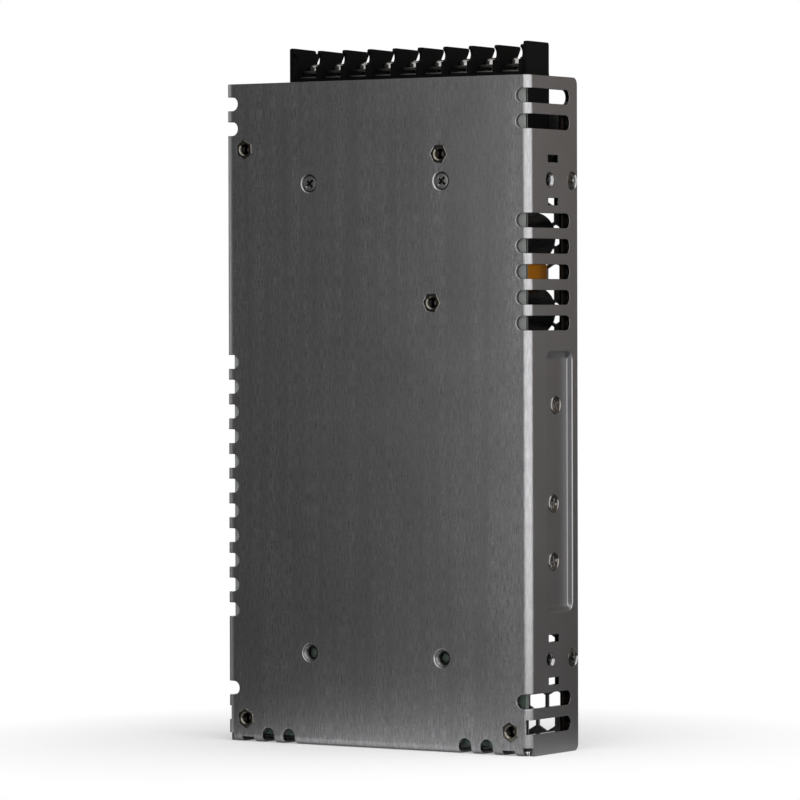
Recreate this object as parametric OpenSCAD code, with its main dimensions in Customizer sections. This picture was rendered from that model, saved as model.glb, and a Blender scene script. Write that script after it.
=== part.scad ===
// Enclosed switching power supply, standing on its closed end with its screw terminals up.
// X runs across the case, Y from the base plate to the cover and Z up from the closed end.
// Depths are measured from the base plate's outer face towards the cover.

/* [Case] */
// Width across the outer faces of the side walls
case_w = 115; // [112:0.5:130]
// Length of the side walls, from the closed end to the terminal end
case_l = 212; // [208:1:240]
// Depth from the base plate's outer face to the cover's outer face
case_d = 30; // [29:0.5:40]
// Thickness of the folded chassis sheet
sheet_t = 1.5; // [1.2:0.1:1.8]
// Outer radius of the chassis bends
bend_r = 2.3; // [2:0.1:3]
// Radius on the free corners of the side walls
corner_r = 2.2; // [1:0.1:4]
// Play between the folds that meet at a lower corner
fold_gap = 0.3; // [0.1:0.1:0.8]

/* [Vent slots] */
// Width of a vent slot
slot_w = 4.5; // [3:0.1:5]
// Distance between neighbouring slots
slot_pitch = 8; // [7:0.25:8.5]
// Reach of a slot onto the base plate, from the outer face of its wall
slot_reach = 4.85; // [4:0.05:6]
// Depth of a slot's far end
slot_far = 24.2; // [20:0.1:25]
// Distance of the uppermost slots from the terminal end
top_slot_drop = 6.4; // [5:0.1:8]
// Height of the lowest slots
low_slot_z = 9.1; // [8.5:0.1:10]
// Height of the lowest slot in the right wall's group
right_slot_z = 134.85; // [132:0.05:140]
// Number of slots in the right wall's group
right_slots = 5; // [1:1:5]
// Height of the lowest slot in the left wall's row
left_slot_z = 42.45; // [40:0.05:48]
// Number of slots in the left wall's row
left_slots = 11; // [1:1:12]
// Distance of the inner end slots from the middle of the case
end_slot_x = 33.4; // [28:0.1:35]
// Number of long end slots in each group
end_slots = 2; // [1:1:2]

/* [Mounting holes] */
// Spacing of the base holes across the case
mount_w = 50; // [40:1:60]
// Spacing of the base holes and of the side holes along the case
mount_l = 150; // [144:1:156]
// Height of the lower holes
mount_z = 29.5; // [26:0.5:31]
// Depth of the right wall's holes
side_mount_d = 12.3; // [9:0.1:14]
// Tapping bore of the holes
mount_bore = 3.3; // [3:0.1:3.5]
// Diameter of a hole's conical mouth
mouth_dia = 6; // [4.5:0.1:7]
// Depth of a hole's conical mouth
mouth_l = 1; // [0.5:0.1:1.1]
// Outer diameter of the collar drawn up round a hole
collar_dia = 5.6; // [4.8:0.1:6.4]
// Length of the collar inside the sheet
collar_l = 1.3; // [0.8:0.1:1.8]
// Width of a window beside a side hole
window_w = 5.9; // [3:0.1:7]
// Height of a window beside a side hole
window_h = 2.25; // [1.5:0.05:3]
// Depth of the middle of a window
window_d = 14.2; // [12:0.1:16]
// Distance along the case from a side hole to a window
window_step = 6.7; // [6:0.1:8]

/* [Recess in the right wall] */
// Depth of the recess's edge beside the base plate
recess_near = 9.6; // [9:0.1:10.5]
// Depth of the recess's edge beside the cover
recess_far = 26; // [24:0.1:26.2]
// Height of the recess's lower edge
recess_z = 43.9; // [40:0.1:46]
// Length of the recess
recess_l = 82.2; // [78:0.1:84]
// How far the recess is pressed in
recess_press = 1.9; // [1:0.1:2.2]
// Run of the recess's steep long sides
recess_slope = 0.6; // [0.3:0.1:1]
// Run of the recess's sloping ends
recess_end_slope = 2.2; // [1:0.1:2.5]
// Corner radius of the recess
recess_r = 2; // [1.2:0.1:3]
// Distance of the lowest screw from the recess's lower edge
low_screw_rise = 16.2; // [14:0.1:18]
// Distance of the uppermost screw from the recess's upper edge
high_screw_drop = 16.9; // [16:0.1:19]
// How far the screws lie off the middle of the recess
screw_offset = 0.7; // [0:0.1:1.2]

/* [Cover] */
// Thickness of the cover sheet
cover_t = 1; // [0.8:0.1:1.2]
// Outer radius of the cover's bends
cover_bend_r = 1.6; // [1.3:0.1:2]
// Depth of the cover's flanges below the wall edges
flange_l = 6.8; // [5:0.1:7.5]
// Play between the cover's flanges and the chassis
cover_play = 0.15; // [0.05:0.05:0.4]
// Distance from the cover's edge to the terminal end of the case
cover_stop = 10.7; // [9:0.1:14]
// Width of a perforation across its flats
hex_af = 6.1; // [4:0.1:6.3]
// Distance between perforations in a row
hex_pitch = 7.04; // [6.8:0.02:9]
// Distance between rows of perforations
hex_row = 6.14; // [5.9:0.01:8]
// Height of the lowest row of perforations
hex_z = 8.97; // [7.5:0.01:12]
// Plain length of the cover above the perforations
hex_stop = 22; // [20:1:60]

/* [Board] */
// Thickness of the circuit board
board_t = 1.6; // [1:0.1:2]
// Height of the standoffs above the chassis floor
standoff_l = 3.1; // [2.6:0.1:4]
// Width of a standoff's hexagonal end across its flats
standoff_af = 5.4; // [4.6:0.1:6]
// Diameter of a standoff's collar
standoff_dia = 5; // [4.2:0.1:5.6]
// Bore of a standoff
standoff_bore = 2.9; // [2.7:0.1:3.1]
// Distance from the side walls' inner faces to the board
board_play = 2.8; // [2.6:0.1:3.2]
// Distance from the end wall's inner face to the board
board_end_play = 0.7; // [0.3:0.1:1.5]
// Distance from the board's edge to the terminal end of the case
board_stop = 4; // [3:0.1:6]
// Thickness of the insulating sheet
film_t = 0.4; // [0.2:0.1:0.6]
// Height of the insulating sheet's lower edge
film_z = 34; // [33:0.5:38]
// Gap between neighbouring parts on the board
part_gap = 0.6; // [0.4:0.1:1]
// Room left between the tallest parts and the cover
headroom = 1.6; // [1:0.1:3]

/* [Terminal block] */
// Least room beside the block for the indicator and the trimmer
indicator_room = 16.6; // [15:0.1:18]
// Clear width of a terminal's bay
bay_w = 8.45; // [7.6:0.05:8.6]
// Thickness of a barrier between two bays
barrier_t = 1.1; // [0.8:0.1:1.4]
// Thickness of an end barrier with the plate outside it
end_barrier_t = 2.3; // [1.9:0.1:2.6]
// Distance from the right wall's inner face to the block
term_side_play = 4.7; // [3.5:0.1:6]
// Depth of the block's near face
term_near = 7.65; // [7.5:0.05:8.5]
// Thickness of the block between its near and far faces
term_w = 14.6; // [13.5:0.1:16]
// How far the block reaches into the case
term_sink = 20; // [18:0.5:22]
// Height of the bays' floor above the case edge
bay_rise = 1.3; // [0.8:0.1:3]
// Height of the barriers above the case edge
barrier_rise = 10.05; // [10:0.05:13]
// Extra height of the plates outside the end barriers
end_rise = 1; // [0.3:0.1:2]
// Thickness of a contact plate
contact_t = 0.8; // [0.6:0.1:1]
// Thread diameter of a terminal screw
term_screw_dia = 3.4; // [3:0.1:3.6]
// Head diameter of a terminal screw
term_head_dia = 6.4; // [5.6:0.1:6.8]
// Head height of a terminal screw
term_head_h = 2.3; // [1.8:0.1:2.6]
// Width of a square clamping washer
clamp_w = 7; // [6.2:0.1:7.2]
// Thickness of a clamping washer
clamp_t = 0.9; // [0.6:0.1:1.2]
// How far the washers stand open above the contacts
clamp_open = 1.1; // [0.3:0.1:1.4]

/* [Parts on the board] */
// Diameter of a bulk capacitor
bulk_dia = 15.8; // [14:0.1:16.2]
// Thickness of the line filter capacitor between the bulk capacitors
x_cap_t = 6.3; // [5:0.1:8]
// Width of the line filter capacitor
x_cap_w = 21; // [18:0.5:22]
// Height of the line filter capacitor
x_cap_h = 18; // [12:0.5:18.5]
// Diameter of an output capacitor
output_cap_dia = 12.6; // [10:0.1:14]
// Number of output capacitors
output_caps = 4; // [1:1:4]
// Width of a power device
device_w = 10; // [9:0.1:10.6]
// Height of a power device's case
device_h = 15.4; // [14:0.1:15.8]
// Thickness of a power device
device_t = 4.5; // [4:0.1:5]
// Thickness of the thermal pad
pad_t = 0.3; // [0.2:0.1:0.5]
// Thickness of a device clamp
device_clamp_t = 1.2; // [0.8:0.1:1.6]
// Width of the transformer's core
core_w = 40; // [36:0.5:42]
// Length of the transformer's core
core_l = 34; // [30:0.5:38]
// Width of the transformer's middle leg
core_leg = 12; // [10:0.5:13]
// Outer diameter of the output inductor's core
ring_dia = 22; // [18:0.5:23]
// Number of turns on the output inductor
ring_turns = 20; // [8:1:20]

/* [Hidden] */
$fn = 48;
// Overshoot of a cut past the face that it starts from
cut = 1;
half = case_w / 2;
// Place of the base plate's outer face
y0 = -case_d / 2;
inner_x = half - sheet_t;
wall_d = case_d - cover_t;
relief = bend_r + fold_gap;
// How far past the start of a bend the slots beside the standoffs stop
bend_stop = bend_r * 0.32;
mount_top = mount_z + mount_l;

// Cover
flange_x = inner_x - cover_play;
flange_d = wall_d - flange_l;
cover_z = sheet_t + cover_play;
cover_end = case_l - cover_stop;
hex_rows = floor((cover_end - hex_stop - hex_z) / hex_row) + 1;
hex_side = floor((flange_x - cover_bend_r - hex_af / 2) / hex_pitch);
// Distance of the cover screws from the walls' free edges
cover_screw_edge = 3.2;
cover_screw_d = wall_d - cover_screw_edge;
cover_screw_heights = [mount_z, mount_top];
screw_dia = 2.6;
flat_head_dia = 5.6;
flat_head_h = 1.2;
// How far a cover screw's head lies below the wall's face
head_sink = 0.3;

// Board
board_half = inner_x - board_play;
board_d = sheet_t + standoff_l;
board_top = board_d + board_t;
board_z = sheet_t + board_end_play;
board_end = case_l - board_stop;
tall_h = wall_d - board_top - headroom;
pan_head_dia = 5.6;
pan_head_h = 1.4;
// Height of the low heads in the recess
low_head_h = 0.9;
hole_play = 0.3;
// Countersink at the outer end of a standoff's bore
standoff_mouth = standoff_af * 0.82;
standoff_sink = sheet_t / 2;
film_half = half - bend_r;
// Inset of the corner standoffs from the side walls' outer faces, and their height
corner_inset = 7.4;
corner_z = 7.5;
// Distance of the upper left standoff from the terminal end
upper_standoff_drop = 21.1;
// Places of the two standoffs beside the input parts
input_standoff_x = 24.2;
input_standoff_rise = 8.5;
bulk_standoff_x = 21.4;
bulk_standoff_rise = 6.45;
// Places of the standoffs, as distance from the middle and height
standoffs = [
    [-(half - corner_inset), case_l - upper_standoff_drop],
    [input_standoff_x, mount_top + input_standoff_rise],
    [bulk_standoff_x, right_slot_z + bulk_standoff_rise],
    [-(half - corner_inset), corner_z],
    [half - corner_inset, corner_z]
];

// Terminal block
bay_step = bay_w + barrier_t;
end_plate_t = end_barrier_t - barrier_t;
// How far the barriers' lips lie behind the block's near and far faces, and their radius
near_lip = 1.1;
far_lip = 0.1;
lip_r = 0.8;
clamp_r = 0.6;
term_x1 = inner_x - term_side_play;
block_room = 2 * inner_x - term_side_play - indicator_room;
terminals = floor((block_room - 2 * end_barrier_t + barrier_t) / bay_step);
term_x0 = term_x1 - terminals * bay_step + barrier_t - 2 * end_barrier_t;
term_far = term_near + term_w;
term_z = case_l - term_sink;
bay_z = case_l + bay_rise;
contact_z = bay_z + contact_t;
clamp_z = contact_z + clamp_open;
head_z = clamp_z + clamp_t;
term_mid_d = term_near + term_w / 2;
function bay_x(i) = term_x0 + end_barrier_t + bay_w / 2 + i * bay_step;

// Power devices behind the recess
recess_floor_x = inner_x - recess_press;
// Thickness that the sheet keeps at the recess's steep sides
press_wall = sheet_t * 0.45;
pad_x = recess_floor_x - pad_t;
device_x = pad_x - device_t;
device_clamp_x = device_x - device_clamp_t;
device_mid_d = (recess_near + recess_far) / 2;
device_play = 1;
// Room on either side of a screw beside a device
screw_play = 1.8;
device_step = (device_w + screw_dia) / 2 + device_play + screw_play;
low_screw_z = recess_z + low_screw_rise;
mid_screw_z = low_screw_z + 2 * device_step;
high_screw_z = recess_z + recess_l - high_screw_drop;
device_heights = [
    (low_screw_z + mid_screw_z) / 2,
    high_screw_z - device_step,
    high_screw_z + device_step
];
// Depth and height of each screw in the recess
device_screw_places = [
    [device_mid_d - screw_offset, low_screw_z],
    [device_mid_d - screw_offset, mid_screw_z],
    [device_mid_d + screw_offset, high_screw_z]
];

// Parts in the right-hand column, round the middle of the right wall's slots
edge_inset = 2.4;
x_cap_drop = 0.6;
x_cap_r = 0.8;
x_cap_z = right_slot_z + slot_pitch * (right_slots - 1) / 2 - x_cap_drop;
x_cap_x1 = board_half - 2 * edge_inset;
bulk_x = board_half - edge_inset - bulk_dia / 2;
bulk_step = x_cap_t / 2 + part_gap + bulk_dia / 2;
lead_dia = 0.8;

// Parts below the terminal block, which hang from its place
middle_x = 1;
block_gap = 5;
choke_w = 24;
choke_l = 22;
choke_leg = 5;
choke_wire = 2.6;
choke_x = middle_x - choke_wire;
choke_z = term_z - block_gap - choke_l / 2;
choke_edge = choke_w / 2 + choke_wire + part_gap;
varistor_dia = 11;
varistor_t = 4;
varistor_x = choke_x + choke_edge + varistor_t / 2;
thermistor_dia = 12;
thermistor_t = 4.5;
thermistor_x = varistor_x + varistor_t / 2 + part_gap + thermistor_t / 2;
y_cap_dia = 8;
y_cap_t = 3;
y_cap_x = choke_x - choke_edge - y_cap_t / 2;
fuse_dia = 5.2;
fuse_l = 20;
fuse_x = y_cap_x - y_cap_t / 2 - part_gap - fuse_l / 2;
fuse_z = term_z - block_gap - fuse_dia / 2;

// Parts in the left-hand column, from the lowest slot of its row upwards
output_cap_x = -(board_half - edge_inset - output_cap_dia / 2);
output_cap_step = output_cap_dia + 2 * part_gap;
output_cap_z = left_slot_z + slot_w + output_cap_dia / 2;
wire_t = 1.3;
wire_play = 0.2;
ring_wall = 4.8;
ring_h = 9;
ring_edge = ring_dia / 2 + wire_t + wire_play;
ring_x = -(board_half - edge_inset - ring_edge);
ring_z = output_cap_z + (output_caps - 1) * output_cap_step + output_cap_dia / 2 + part_gap + ring_edge;

// Parts in the middle, which follow one another down from the choke
bridge_w = 20;
bridge_t = 3.6;
bridge_h = 14;
bridge_x = bulk_standoff_x - pan_head_dia / 2 - part_gap - bridge_w / 2;
bridge_z = choke_z - choke_l / 2 - part_gap - bridge_t / 2;
module_l = 28;
module_h = 15;
module_play = 10;
module_z = bridge_z - bridge_t / 2 - module_play - module_l / 2;
module_offset = 5;
module_x = middle_x - module_offset;
chip_l = 9.9;
chip_h = 4;
chip_t = 1.5;
opto_play = 12;
opto_x = module_x - opto_play;
opto_w = 6.4;
opto_l = 4.6;
opto_h = 3.4;
core_t = 12;
core_d = board_top + tall_h / 2;
core_x = middle_x;
core_z = module_z - module_l / 2 - part_gap - core_l / 2;
core_yoke = core_leg / 2;
core_window_w = core_w / 2 - core_leg;
core_window_l = core_l - 2 * core_yoke;
bobbin_wall = 0.8;
bobbin_play = 0.2;
bobbin_leg = core_leg + 2 * (bobbin_play + bobbin_wall);
flange_t = 1;
flange_w = core_leg + 2 * (core_window_w - bobbin_play);
bobbin_l = core_window_l - 2 * bobbin_play;
resistor_dia = 4;
resistor_l = 10;
resistor_rise = 24;
resistor_z = board_z + resistor_rise;

// Parts beside the terminal block, from the board's left edge inwards
led_dia = 3;
led_rim = 0.4;
led_drop = 6;
led_x = -(board_half - part_gap - led_dia / 2 - led_rim);
led_z = board_end - led_drop;
trimmer_w = 7;
trimmer_l = 5;
trimmer_h = 7.2;
trimmer_r = 0.6;
trimmer_play = 1.6;
trimmer_drop = 1;
trimmer_x = led_x + led_dia / 2 + led_rim + trimmer_play + trimmer_w / 2;
trimmer_z = board_end - trimmer_l - trimmer_drop;
rotor_dia = 5;
rotor_h = 1.6;
rotor_seat = 1;

// Shaping helpers: 2D shapes drawn across the case, along its wall or across its section
module slab(d0, d1)
    translate([0, y0 + d1, 0])
        rotate([90, 0, 0])
            linear_extrude(d1 - d0)
                children();

module bar(x0, x1)
    translate([x0, y0, 0])
        rotate([90, 0, 90])
            linear_extrude(x1 - x0)
                children();

module prism(z0, z1)
    translate([0, y0, z0])
        linear_extrude(z1 - z0)
            children();

module both_sides() {
    children();
    mirror([1, 0, 0])
        children();
}

// Places a shape that was drawn standing on XY so that it stands on a face of constant depth
module stand(x, d, z)
    translate([x, y0 + d, z])
        rotate([-90, 0, 0])
            children();

// Places a shape that was drawn standing on XY so that it points into the case from a plane of constant X
module point_in(x, d, z)
    translate([x, y0 + d, z])
        rotate([0, -90, 0])
            children();

module rounded_2d(w, h, r) {
    translate([r, 0])
        square([w - 2 * r, h]);
    translate([0, r])
        square([w, h - 2 * r]);
    for (x = [r, w - r], y = [r, h - r])
        translate([x, y])
            circle(r = r);
}

// Hexagon with corners along Y
module hex_2d(af)
    rotate(30)
        circle(d = af / cos(30), $fn = 6);

// What is cut away to round the corner between +X and +Y at the origin
module corner_cut_2d(r)
    difference() {
        translate([-r, -r])
            square(r + cut);
        translate([-r, -r])
            circle(r = r);
    }

// Quarter ring of a bent sheet, from -Y to +X round its centre
module bend_2d(r, t)
    intersection() {
        difference() {
            circle(r = r);
            circle(r = r - t);
        }
        translate([0, -r])
            square(r);
    }

module cross_recess(w, depth)
    for (a = [0, 90])
        rotate(a)
            translate([-w / 2, -w / 8, -depth])
                cube([w, w / 4, depth + cut]);

module pan_screw(head_dia, head_h, shaft_dia, shaft_l) {
    rise = head_h / 2;
    dome = (head_dia * head_dia / 4 + rise * rise) / (2 * rise);
    difference() {
        intersection() {
            cylinder(h = head_h, d = head_dia);
            translate([0, 0, head_h - dome])
                sphere(r = dome);
        }
        translate([0, 0, head_h])
            cross_recess(head_dia * 0.6, head_h * 0.7);
    }
    translate([0, 0, -shaft_l])
        cylinder(h = shaft_l, d = shaft_dia);
}

module can(dia, h) {
    r = dia / 2;
    edge = 0.7;
    groove_z = 3;
    rotate_extrude()
        polygon([
            [0, 0],
            [r - edge, 0],
            [r, edge],
            [r, groove_z - edge],
            [r - edge, groove_z],
            [r, groove_z + edge],
            [r, h - edge],
            [r - edge, h],
            [r - 2 * edge, h],
            [r - 3 * edge, h - edge],
            [0, h - edge]
        ]);
}

// Disc on edge with two leads, facing along X
module leaded_disc(x, z, dia, t) {
    lead_x = t / 4;
    lead_z = dia / 4;
    translate([x - t / 2, y0 + board_top + lead_dia + dia / 2, z])
        rotate([0, 90, 0])
            cylinder(h = t, d = dia);
    for (s = [-1, 1])
        stand(x + s * lead_x, board_top, z + s * lead_z)
            cylinder(h = dia / 2, d = lead_dia, $fn = 16);
}

// Chassis
module channel_2d() {
    translate([-(half - bend_r), 0])
        square([case_w - 2 * bend_r, sheet_t]);
    both_sides() {
        translate([half - bend_r, bend_r])
            bend_2d(bend_r, sheet_t);
        translate([inner_x, bend_r])
            square([sheet_t, wall_d - bend_r]);
    }
}

module end_fold_2d() {
    translate([bend_r, bend_r])
        rotate(-90)
            bend_2d(bend_r, sheet_t);
    translate([bend_r, 0])
        square([wall_d - bend_r, sheet_t]);
    translate([0, bend_r])
        square([sheet_t, relief]);
}

module folded_sheet() {
    prism(relief, case_l)
        channel_2d();
    bar(-(half - relief), half - relief)
        end_fold_2d();
    both_sides() {
        bar(inner_x, half)
            translate([relief, 0])
                square([wall_d - relief, 2 * relief]);
        prism(0, sheet_t)
            translate([half - 2 * relief, relief])
                square([2 * relief - sheet_t - fold_gap, wall_d - relief]);
    }
}

module recess_2d(grow_d, grow_z)
    translate([recess_near - grow_d, recess_z - grow_z])
        rounded_2d(recess_far - recess_near + 2 * grow_d, recess_l + 2 * grow_z, recess_r + grow_d);

// Pressed form that narrows from the plane x by the run of its sides
module pressing(x, grow) {
    sliver = 0.01;
    hull($fn = 32) {
        bar(x, x + sliver)
            recess_2d(grow, grow);
        bar(x - recess_press, x - recess_press + sliver)
            recess_2d(grow - recess_slope, grow - recess_end_slope);
    }
}

// Slot from the base plate round the bend into the side wall
module wrap_slot(z) {
    end_x = half - slot_reach + slot_w / 2;
    translate([0, 0, z]) {
        slab(-cut, bend_r) {
            translate([end_x, 0])
                circle(d = slot_w);
            translate([end_x, -slot_w / 2])
                square([half + cut - end_x, slot_w]);
        }
        wall_slot(half - bend_r);
    }
}

module wall_slot(start_x)
    bar(start_x, half + cut) {
        translate([slot_far - slot_w / 2, 0])
            circle(d = slot_w);
        translate([-cut, -slot_w / 2])
            square([slot_far - slot_w / 2 + cut, slot_w]);
    }

// Slot beside a standoff, which stops on the bend
module bend_slot(z)
    translate([0, 0, z])
        wall_slot(half - bend_r + bend_stop);

module end_wall_slot(x, end_z)
    prism(-cut, end_z)
        translate([x, 0]) {
            translate([0, slot_far - slot_w / 2])
                circle(d = slot_w);
            translate([-slot_w / 2, -cut])
                square([slot_w, slot_far - slot_w / 2 + cut]);
        }

// Slot from the base plate round the bend into the end wall
module end_slot(x) {
    end_z = slot_reach - slot_w / 2;
    slab(-cut, bend_r)
        translate([x, 0]) {
            translate([0, end_z])
                circle(d = slot_w);
            translate([-slot_w / 2, -cut])
                square([slot_w, end_z + cut]);
        }
    end_wall_slot(x, bend_r);
}

module vent_slots() {
    both_sides() {
        for (i = [0, 1])
            wrap_slot(case_l - top_slot_drop - i * slot_pitch);
        wrap_slot(low_slot_z + slot_pitch);
        bend_slot(low_slot_z);
        for (i = [0 : end_slots - 1])
            end_slot(end_slot_x + i * slot_pitch);
        end_wall_slot(end_slot_x + end_slots * slot_pitch, bend_r - bend_stop);
    }
    for (i = [0 : right_slots - 1])
        wrap_slot(right_slot_z + i * slot_pitch);
    mirror([1, 0, 0])
        for (i = [0 : left_slots - 1])
            wrap_slot(left_slot_z + i * slot_pitch);
}

// Drawn hole: the bore and mouth to cut, with the collar's face at the origin
module drawn_hole() {
    mouth_grow = cut * (mouth_dia - mount_bore) / mouth_l;
    translate([0, 0, -cut])
        cylinder(h = sheet_t + collar_l + 2 * cut, d = mount_bore);
    translate([0, 0, -cut])
        cylinder(h = mouth_l + cut, d1 = mouth_dia + mouth_grow, d2 = mount_bore);
}

module at_base_holes()
    for (x = [-mount_w / 2, mount_w / 2], z = [mount_z, mount_top])
        stand(x, 0, z)
            children();

module at_side_holes()
    for (z = [mount_z, mount_top])
        point_in(half, side_mount_d, z)
            children();

module at_cover_screws()
    both_sides()
        for (z = cover_screw_heights)
            point_in(half, cover_screw_d, z)
                children();

module collar()
    translate([0, 0, sheet_t / 2])
        cylinder(h = sheet_t / 2 + collar_l, d = collar_dia);

module chassis()
    color("silver")
        difference() {
            union() {
                folded_sheet();
                pressing(inner_x, press_wall);
                at_base_holes()
                    collar();
                at_side_holes()
                    collar();
            }
            pressing(half, 0);
            vent_slots();
            at_base_holes()
                drawn_hole();
            at_side_holes()
                drawn_hole();
            at_cover_screws()
                translate([0, 0, -cut])
                    cylinder(h = sheet_t + 2 * cut, d1 = flat_head_dia + 3 * cut, d2 = screw_dia - cut);
            for (z = [mount_z, mount_top], s = [-1, 1])
                bar(inner_x - cut, half + cut)
                    translate([window_d - window_w / 2, z + s * window_step - window_h / 2])
                        square([window_w, window_h]);
            for (p = device_screw_places)
                point_in(half + cut, p.x, p.y)
                    cylinder(h = sheet_t + recess_press + 2 * cut, d = screw_dia + 2 * hole_play);
            for (p = standoffs)
                slab(-cut, sheet_t + cut)
                    translate(p)
                        hex_2d(standoff_af);
            both_sides()
                bar(inner_x - cut, half + cut) {
                    translate([wall_d, case_l])
                        corner_cut_2d(corner_r);
                    translate([wall_d, 0])
                        rotate(-90)
                            corner_cut_2d(corner_r);
                }
        }

// Cover
module cover_section_2d() {
    both_sides() {
        translate([flange_x - cover_bend_r, case_d - cover_bend_r])
            rotate(90)
                bend_2d(cover_bend_r, cover_t);
        translate([flange_x - cover_t, flange_d])
            square([cover_t, case_d - cover_bend_r - flange_d]);
    }
}

module cover_end_2d() {
    translate([case_d - cover_bend_r, cover_z + cover_bend_r])
        bend_2d(cover_bend_r, cover_t);
    translate([flange_d, cover_z])
        square([case_d - cover_bend_r - flange_d, cover_t]);
}

module perforated_2d() {
    flat_half = flange_x - cover_bend_r;
    flat_z = cover_z + cover_bend_r;
    difference() {
        translate([-flat_half, flat_z])
            square([2 * flat_half, cover_end - flat_z]);
        for (k = [0 : hex_rows - 1])
            for (i = [-hex_side : hex_side - 1 + k % 2])
                translate([(i + (1 - k % 2) / 2) * hex_pitch, hex_z + k * hex_row])
                    hex_2d(hex_af);
    }
}

module cover() {
    corner_free = cover_bend_r + 2 * fold_gap;
    color("gainsboro")
        difference() {
            union() {
                slab(wall_d, case_d)
                    perforated_2d();
                prism(cover_z + corner_free, cover_end)
                    cover_section_2d();
                bar(-(flange_x - corner_free), flange_x - corner_free)
                    cover_end_2d();
            }
            both_sides()
                bar(flange_x - cover_t - cut, flange_x + cut)
                    translate([flange_d - cut, recess_z - sheet_t - cut])
                        square([recess_far + cut - flange_d + sheet_t / 2, recess_l + 2 * (sheet_t + cut)]);
            at_cover_screws()
                cylinder(h = sheet_t + cover_play + cover_t + cut, d = screw_dia + hole_play);
        }
}

module cover_screws()
    color("lightgray")
        at_cover_screws()
            difference() {
                union() {
                    translate([0, 0, head_sink])
                        cylinder(h = flat_head_h, d1 = flat_head_dia, d2 = screw_dia);
                    translate([0, 0, head_sink])
                        cylinder(h = sheet_t + cover_play + cover_t + cut, d = screw_dia);
                }
                translate([0, 0, head_sink])
                    mirror([0, 0, 1])
                        cross_recess(flat_head_dia * 0.55, flat_head_h * 0.6);
            }

// Board and what carries it
module insulating_sheet()
    color("gray")
        slab(sheet_t, sheet_t + film_t)
            difference() {
                translate([-film_half, film_z])
                    square([2 * film_half, case_l - board_stop / 2 - film_z]);
                translate([-film_half - cut, mount_top - 2 * collar_dia])
                    square([2 * corner_inset, case_l]);
                for (p = [standoffs[1], standoffs[2]])
                    translate(p)
                        circle(d = standoff_dia + 4 * hole_play);
                for (x = [-mount_w / 2, mount_w / 2])
                    translate([x, mount_top])
                        circle(d = collar_dia + 4 * hole_play);
            }

module circuit_board()
    color("seagreen")
        slab(board_d, board_top)
            difference() {
                translate([-board_half, board_z])
                    square([2 * board_half, board_end - board_z]);
                for (p = standoffs)
                    translate(p)
                        circle(d = screw_dia + 2 * hole_play);
                translate([opto_x - lead_dia, module_z - module_l / 2])
                    rounded_2d(2 * lead_dia, module_l, lead_dia / 2);
            }

module board_standoffs()
    color("goldenrod")
        for (p = standoffs)
            difference() {
                union() {
                    slab(0, sheet_t)
                        translate(p)
                            hex_2d(standoff_af);
                    stand(p.x, sheet_t, p.y)
                        cylinder(h = standoff_l, d = min(standoff_dia, standoff_af - hole_play));
                }
                stand(p.x, -cut, p.y)
                    cylinder(h = board_d + 2 * cut, d = standoff_bore);
                stand(p.x, -cut, p.y)
                    cylinder(h = standoff_sink + cut, d1 = standoff_mouth, d2 = standoff_bore);
            }

module board_screws()
    color("silver")
        for (p = standoffs)
            stand(p.x, board_top, p.y)
                pan_screw(pan_head_dia, pan_head_h, screw_dia, board_top - 2 * sheet_t);

// Terminal block
module barrier_2d(top) {
    near_notch = 2.3;
    far_notch = 1.4;
    notch_r = 2;
    notch_z = top - 2.75;
    difference() {
        translate([term_near, term_z])
            square([term_w, top - term_z]);
        translate([term_near + near_notch - notch_r, notch_z])
            circle(r = notch_r);
        translate([term_far - far_notch + notch_r, notch_z])
            circle(r = notch_r);
        translate([term_near - cut, notch_z])
            square([near_lip + cut, top - notch_z + cut]);
        translate([term_far - far_lip, notch_z])
            square([far_lip + cut, top - notch_z + cut]);
        translate([term_far - far_lip, top])
            corner_cut_2d(lip_r);
        translate([term_near + near_lip, top])
            mirror([1, 0])
                corner_cut_2d(lip_r);
    }
}

module end_plate_2d(top) {
    plate_w = term_w - near_lip - far_lip;
    plate_h = top - term_z;
    translate([term_near + near_lip, term_z])
        difference() {
            square([plate_w, plate_h]);
            translate([plate_w, plate_h])
                corner_cut_2d(lip_r);
            translate([0, plate_h])
                mirror([1, 0])
                    corner_cut_2d(lip_r);
        }
}

module terminal_block() {
    foot_stop = board_end - end_barrier_t;
    color("black")
        difference() {
            union() {
                bar(term_x0, term_x1)
                    translate([term_near, term_z])
                        square([term_w, bay_z - term_z]);
                bar(term_x0, term_x1)
                    translate([board_top, term_z])
                        square([term_w / 2, foot_stop - term_z]);
                for (i = [0 : terminals])
                    bar(bay_x(i) - bay_w / 2 - barrier_t, bay_x(i) - bay_w / 2)
                        barrier_2d(case_l + barrier_rise);
                for (x = [term_x0, term_x1 - end_plate_t])
                    bar(x, x + end_plate_t)
                        end_plate_2d(case_l + barrier_rise + end_rise);
            }
            for (i = [0 : terminals - 1])
                translate([bay_x(i), y0 + term_mid_d, bay_z - 2 * term_screw_dia])
                    cylinder(h = 2 * term_screw_dia + cut, d = term_screw_dia + 4 * hole_play);
        }
}

module terminal_contacts() {
    plate_w = bay_w - 2 * hole_play;
    plate_l = clamp_w + 2 * clamp_r;
    color("gainsboro")
        for (i = [0 : terminals - 1])
            prism(bay_z, contact_z)
                translate([bay_x(i), term_mid_d])
                    difference() {
                        translate([-plate_w / 2, -plate_l / 2])
                            square([plate_w, plate_l]);
                        circle(d = term_screw_dia + hole_play);
                    }
}

module terminal_clamps()
    color("lightgray")
        for (i = [0 : terminals - 1])
            prism(clamp_z, head_z)
                translate([bay_x(i), term_mid_d])
                    difference() {
                        translate([-clamp_w / 2, -clamp_w / 2])
                            rounded_2d(clamp_w, clamp_w, clamp_r);
                        circle(d = term_screw_dia + hole_play);
                    }

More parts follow.
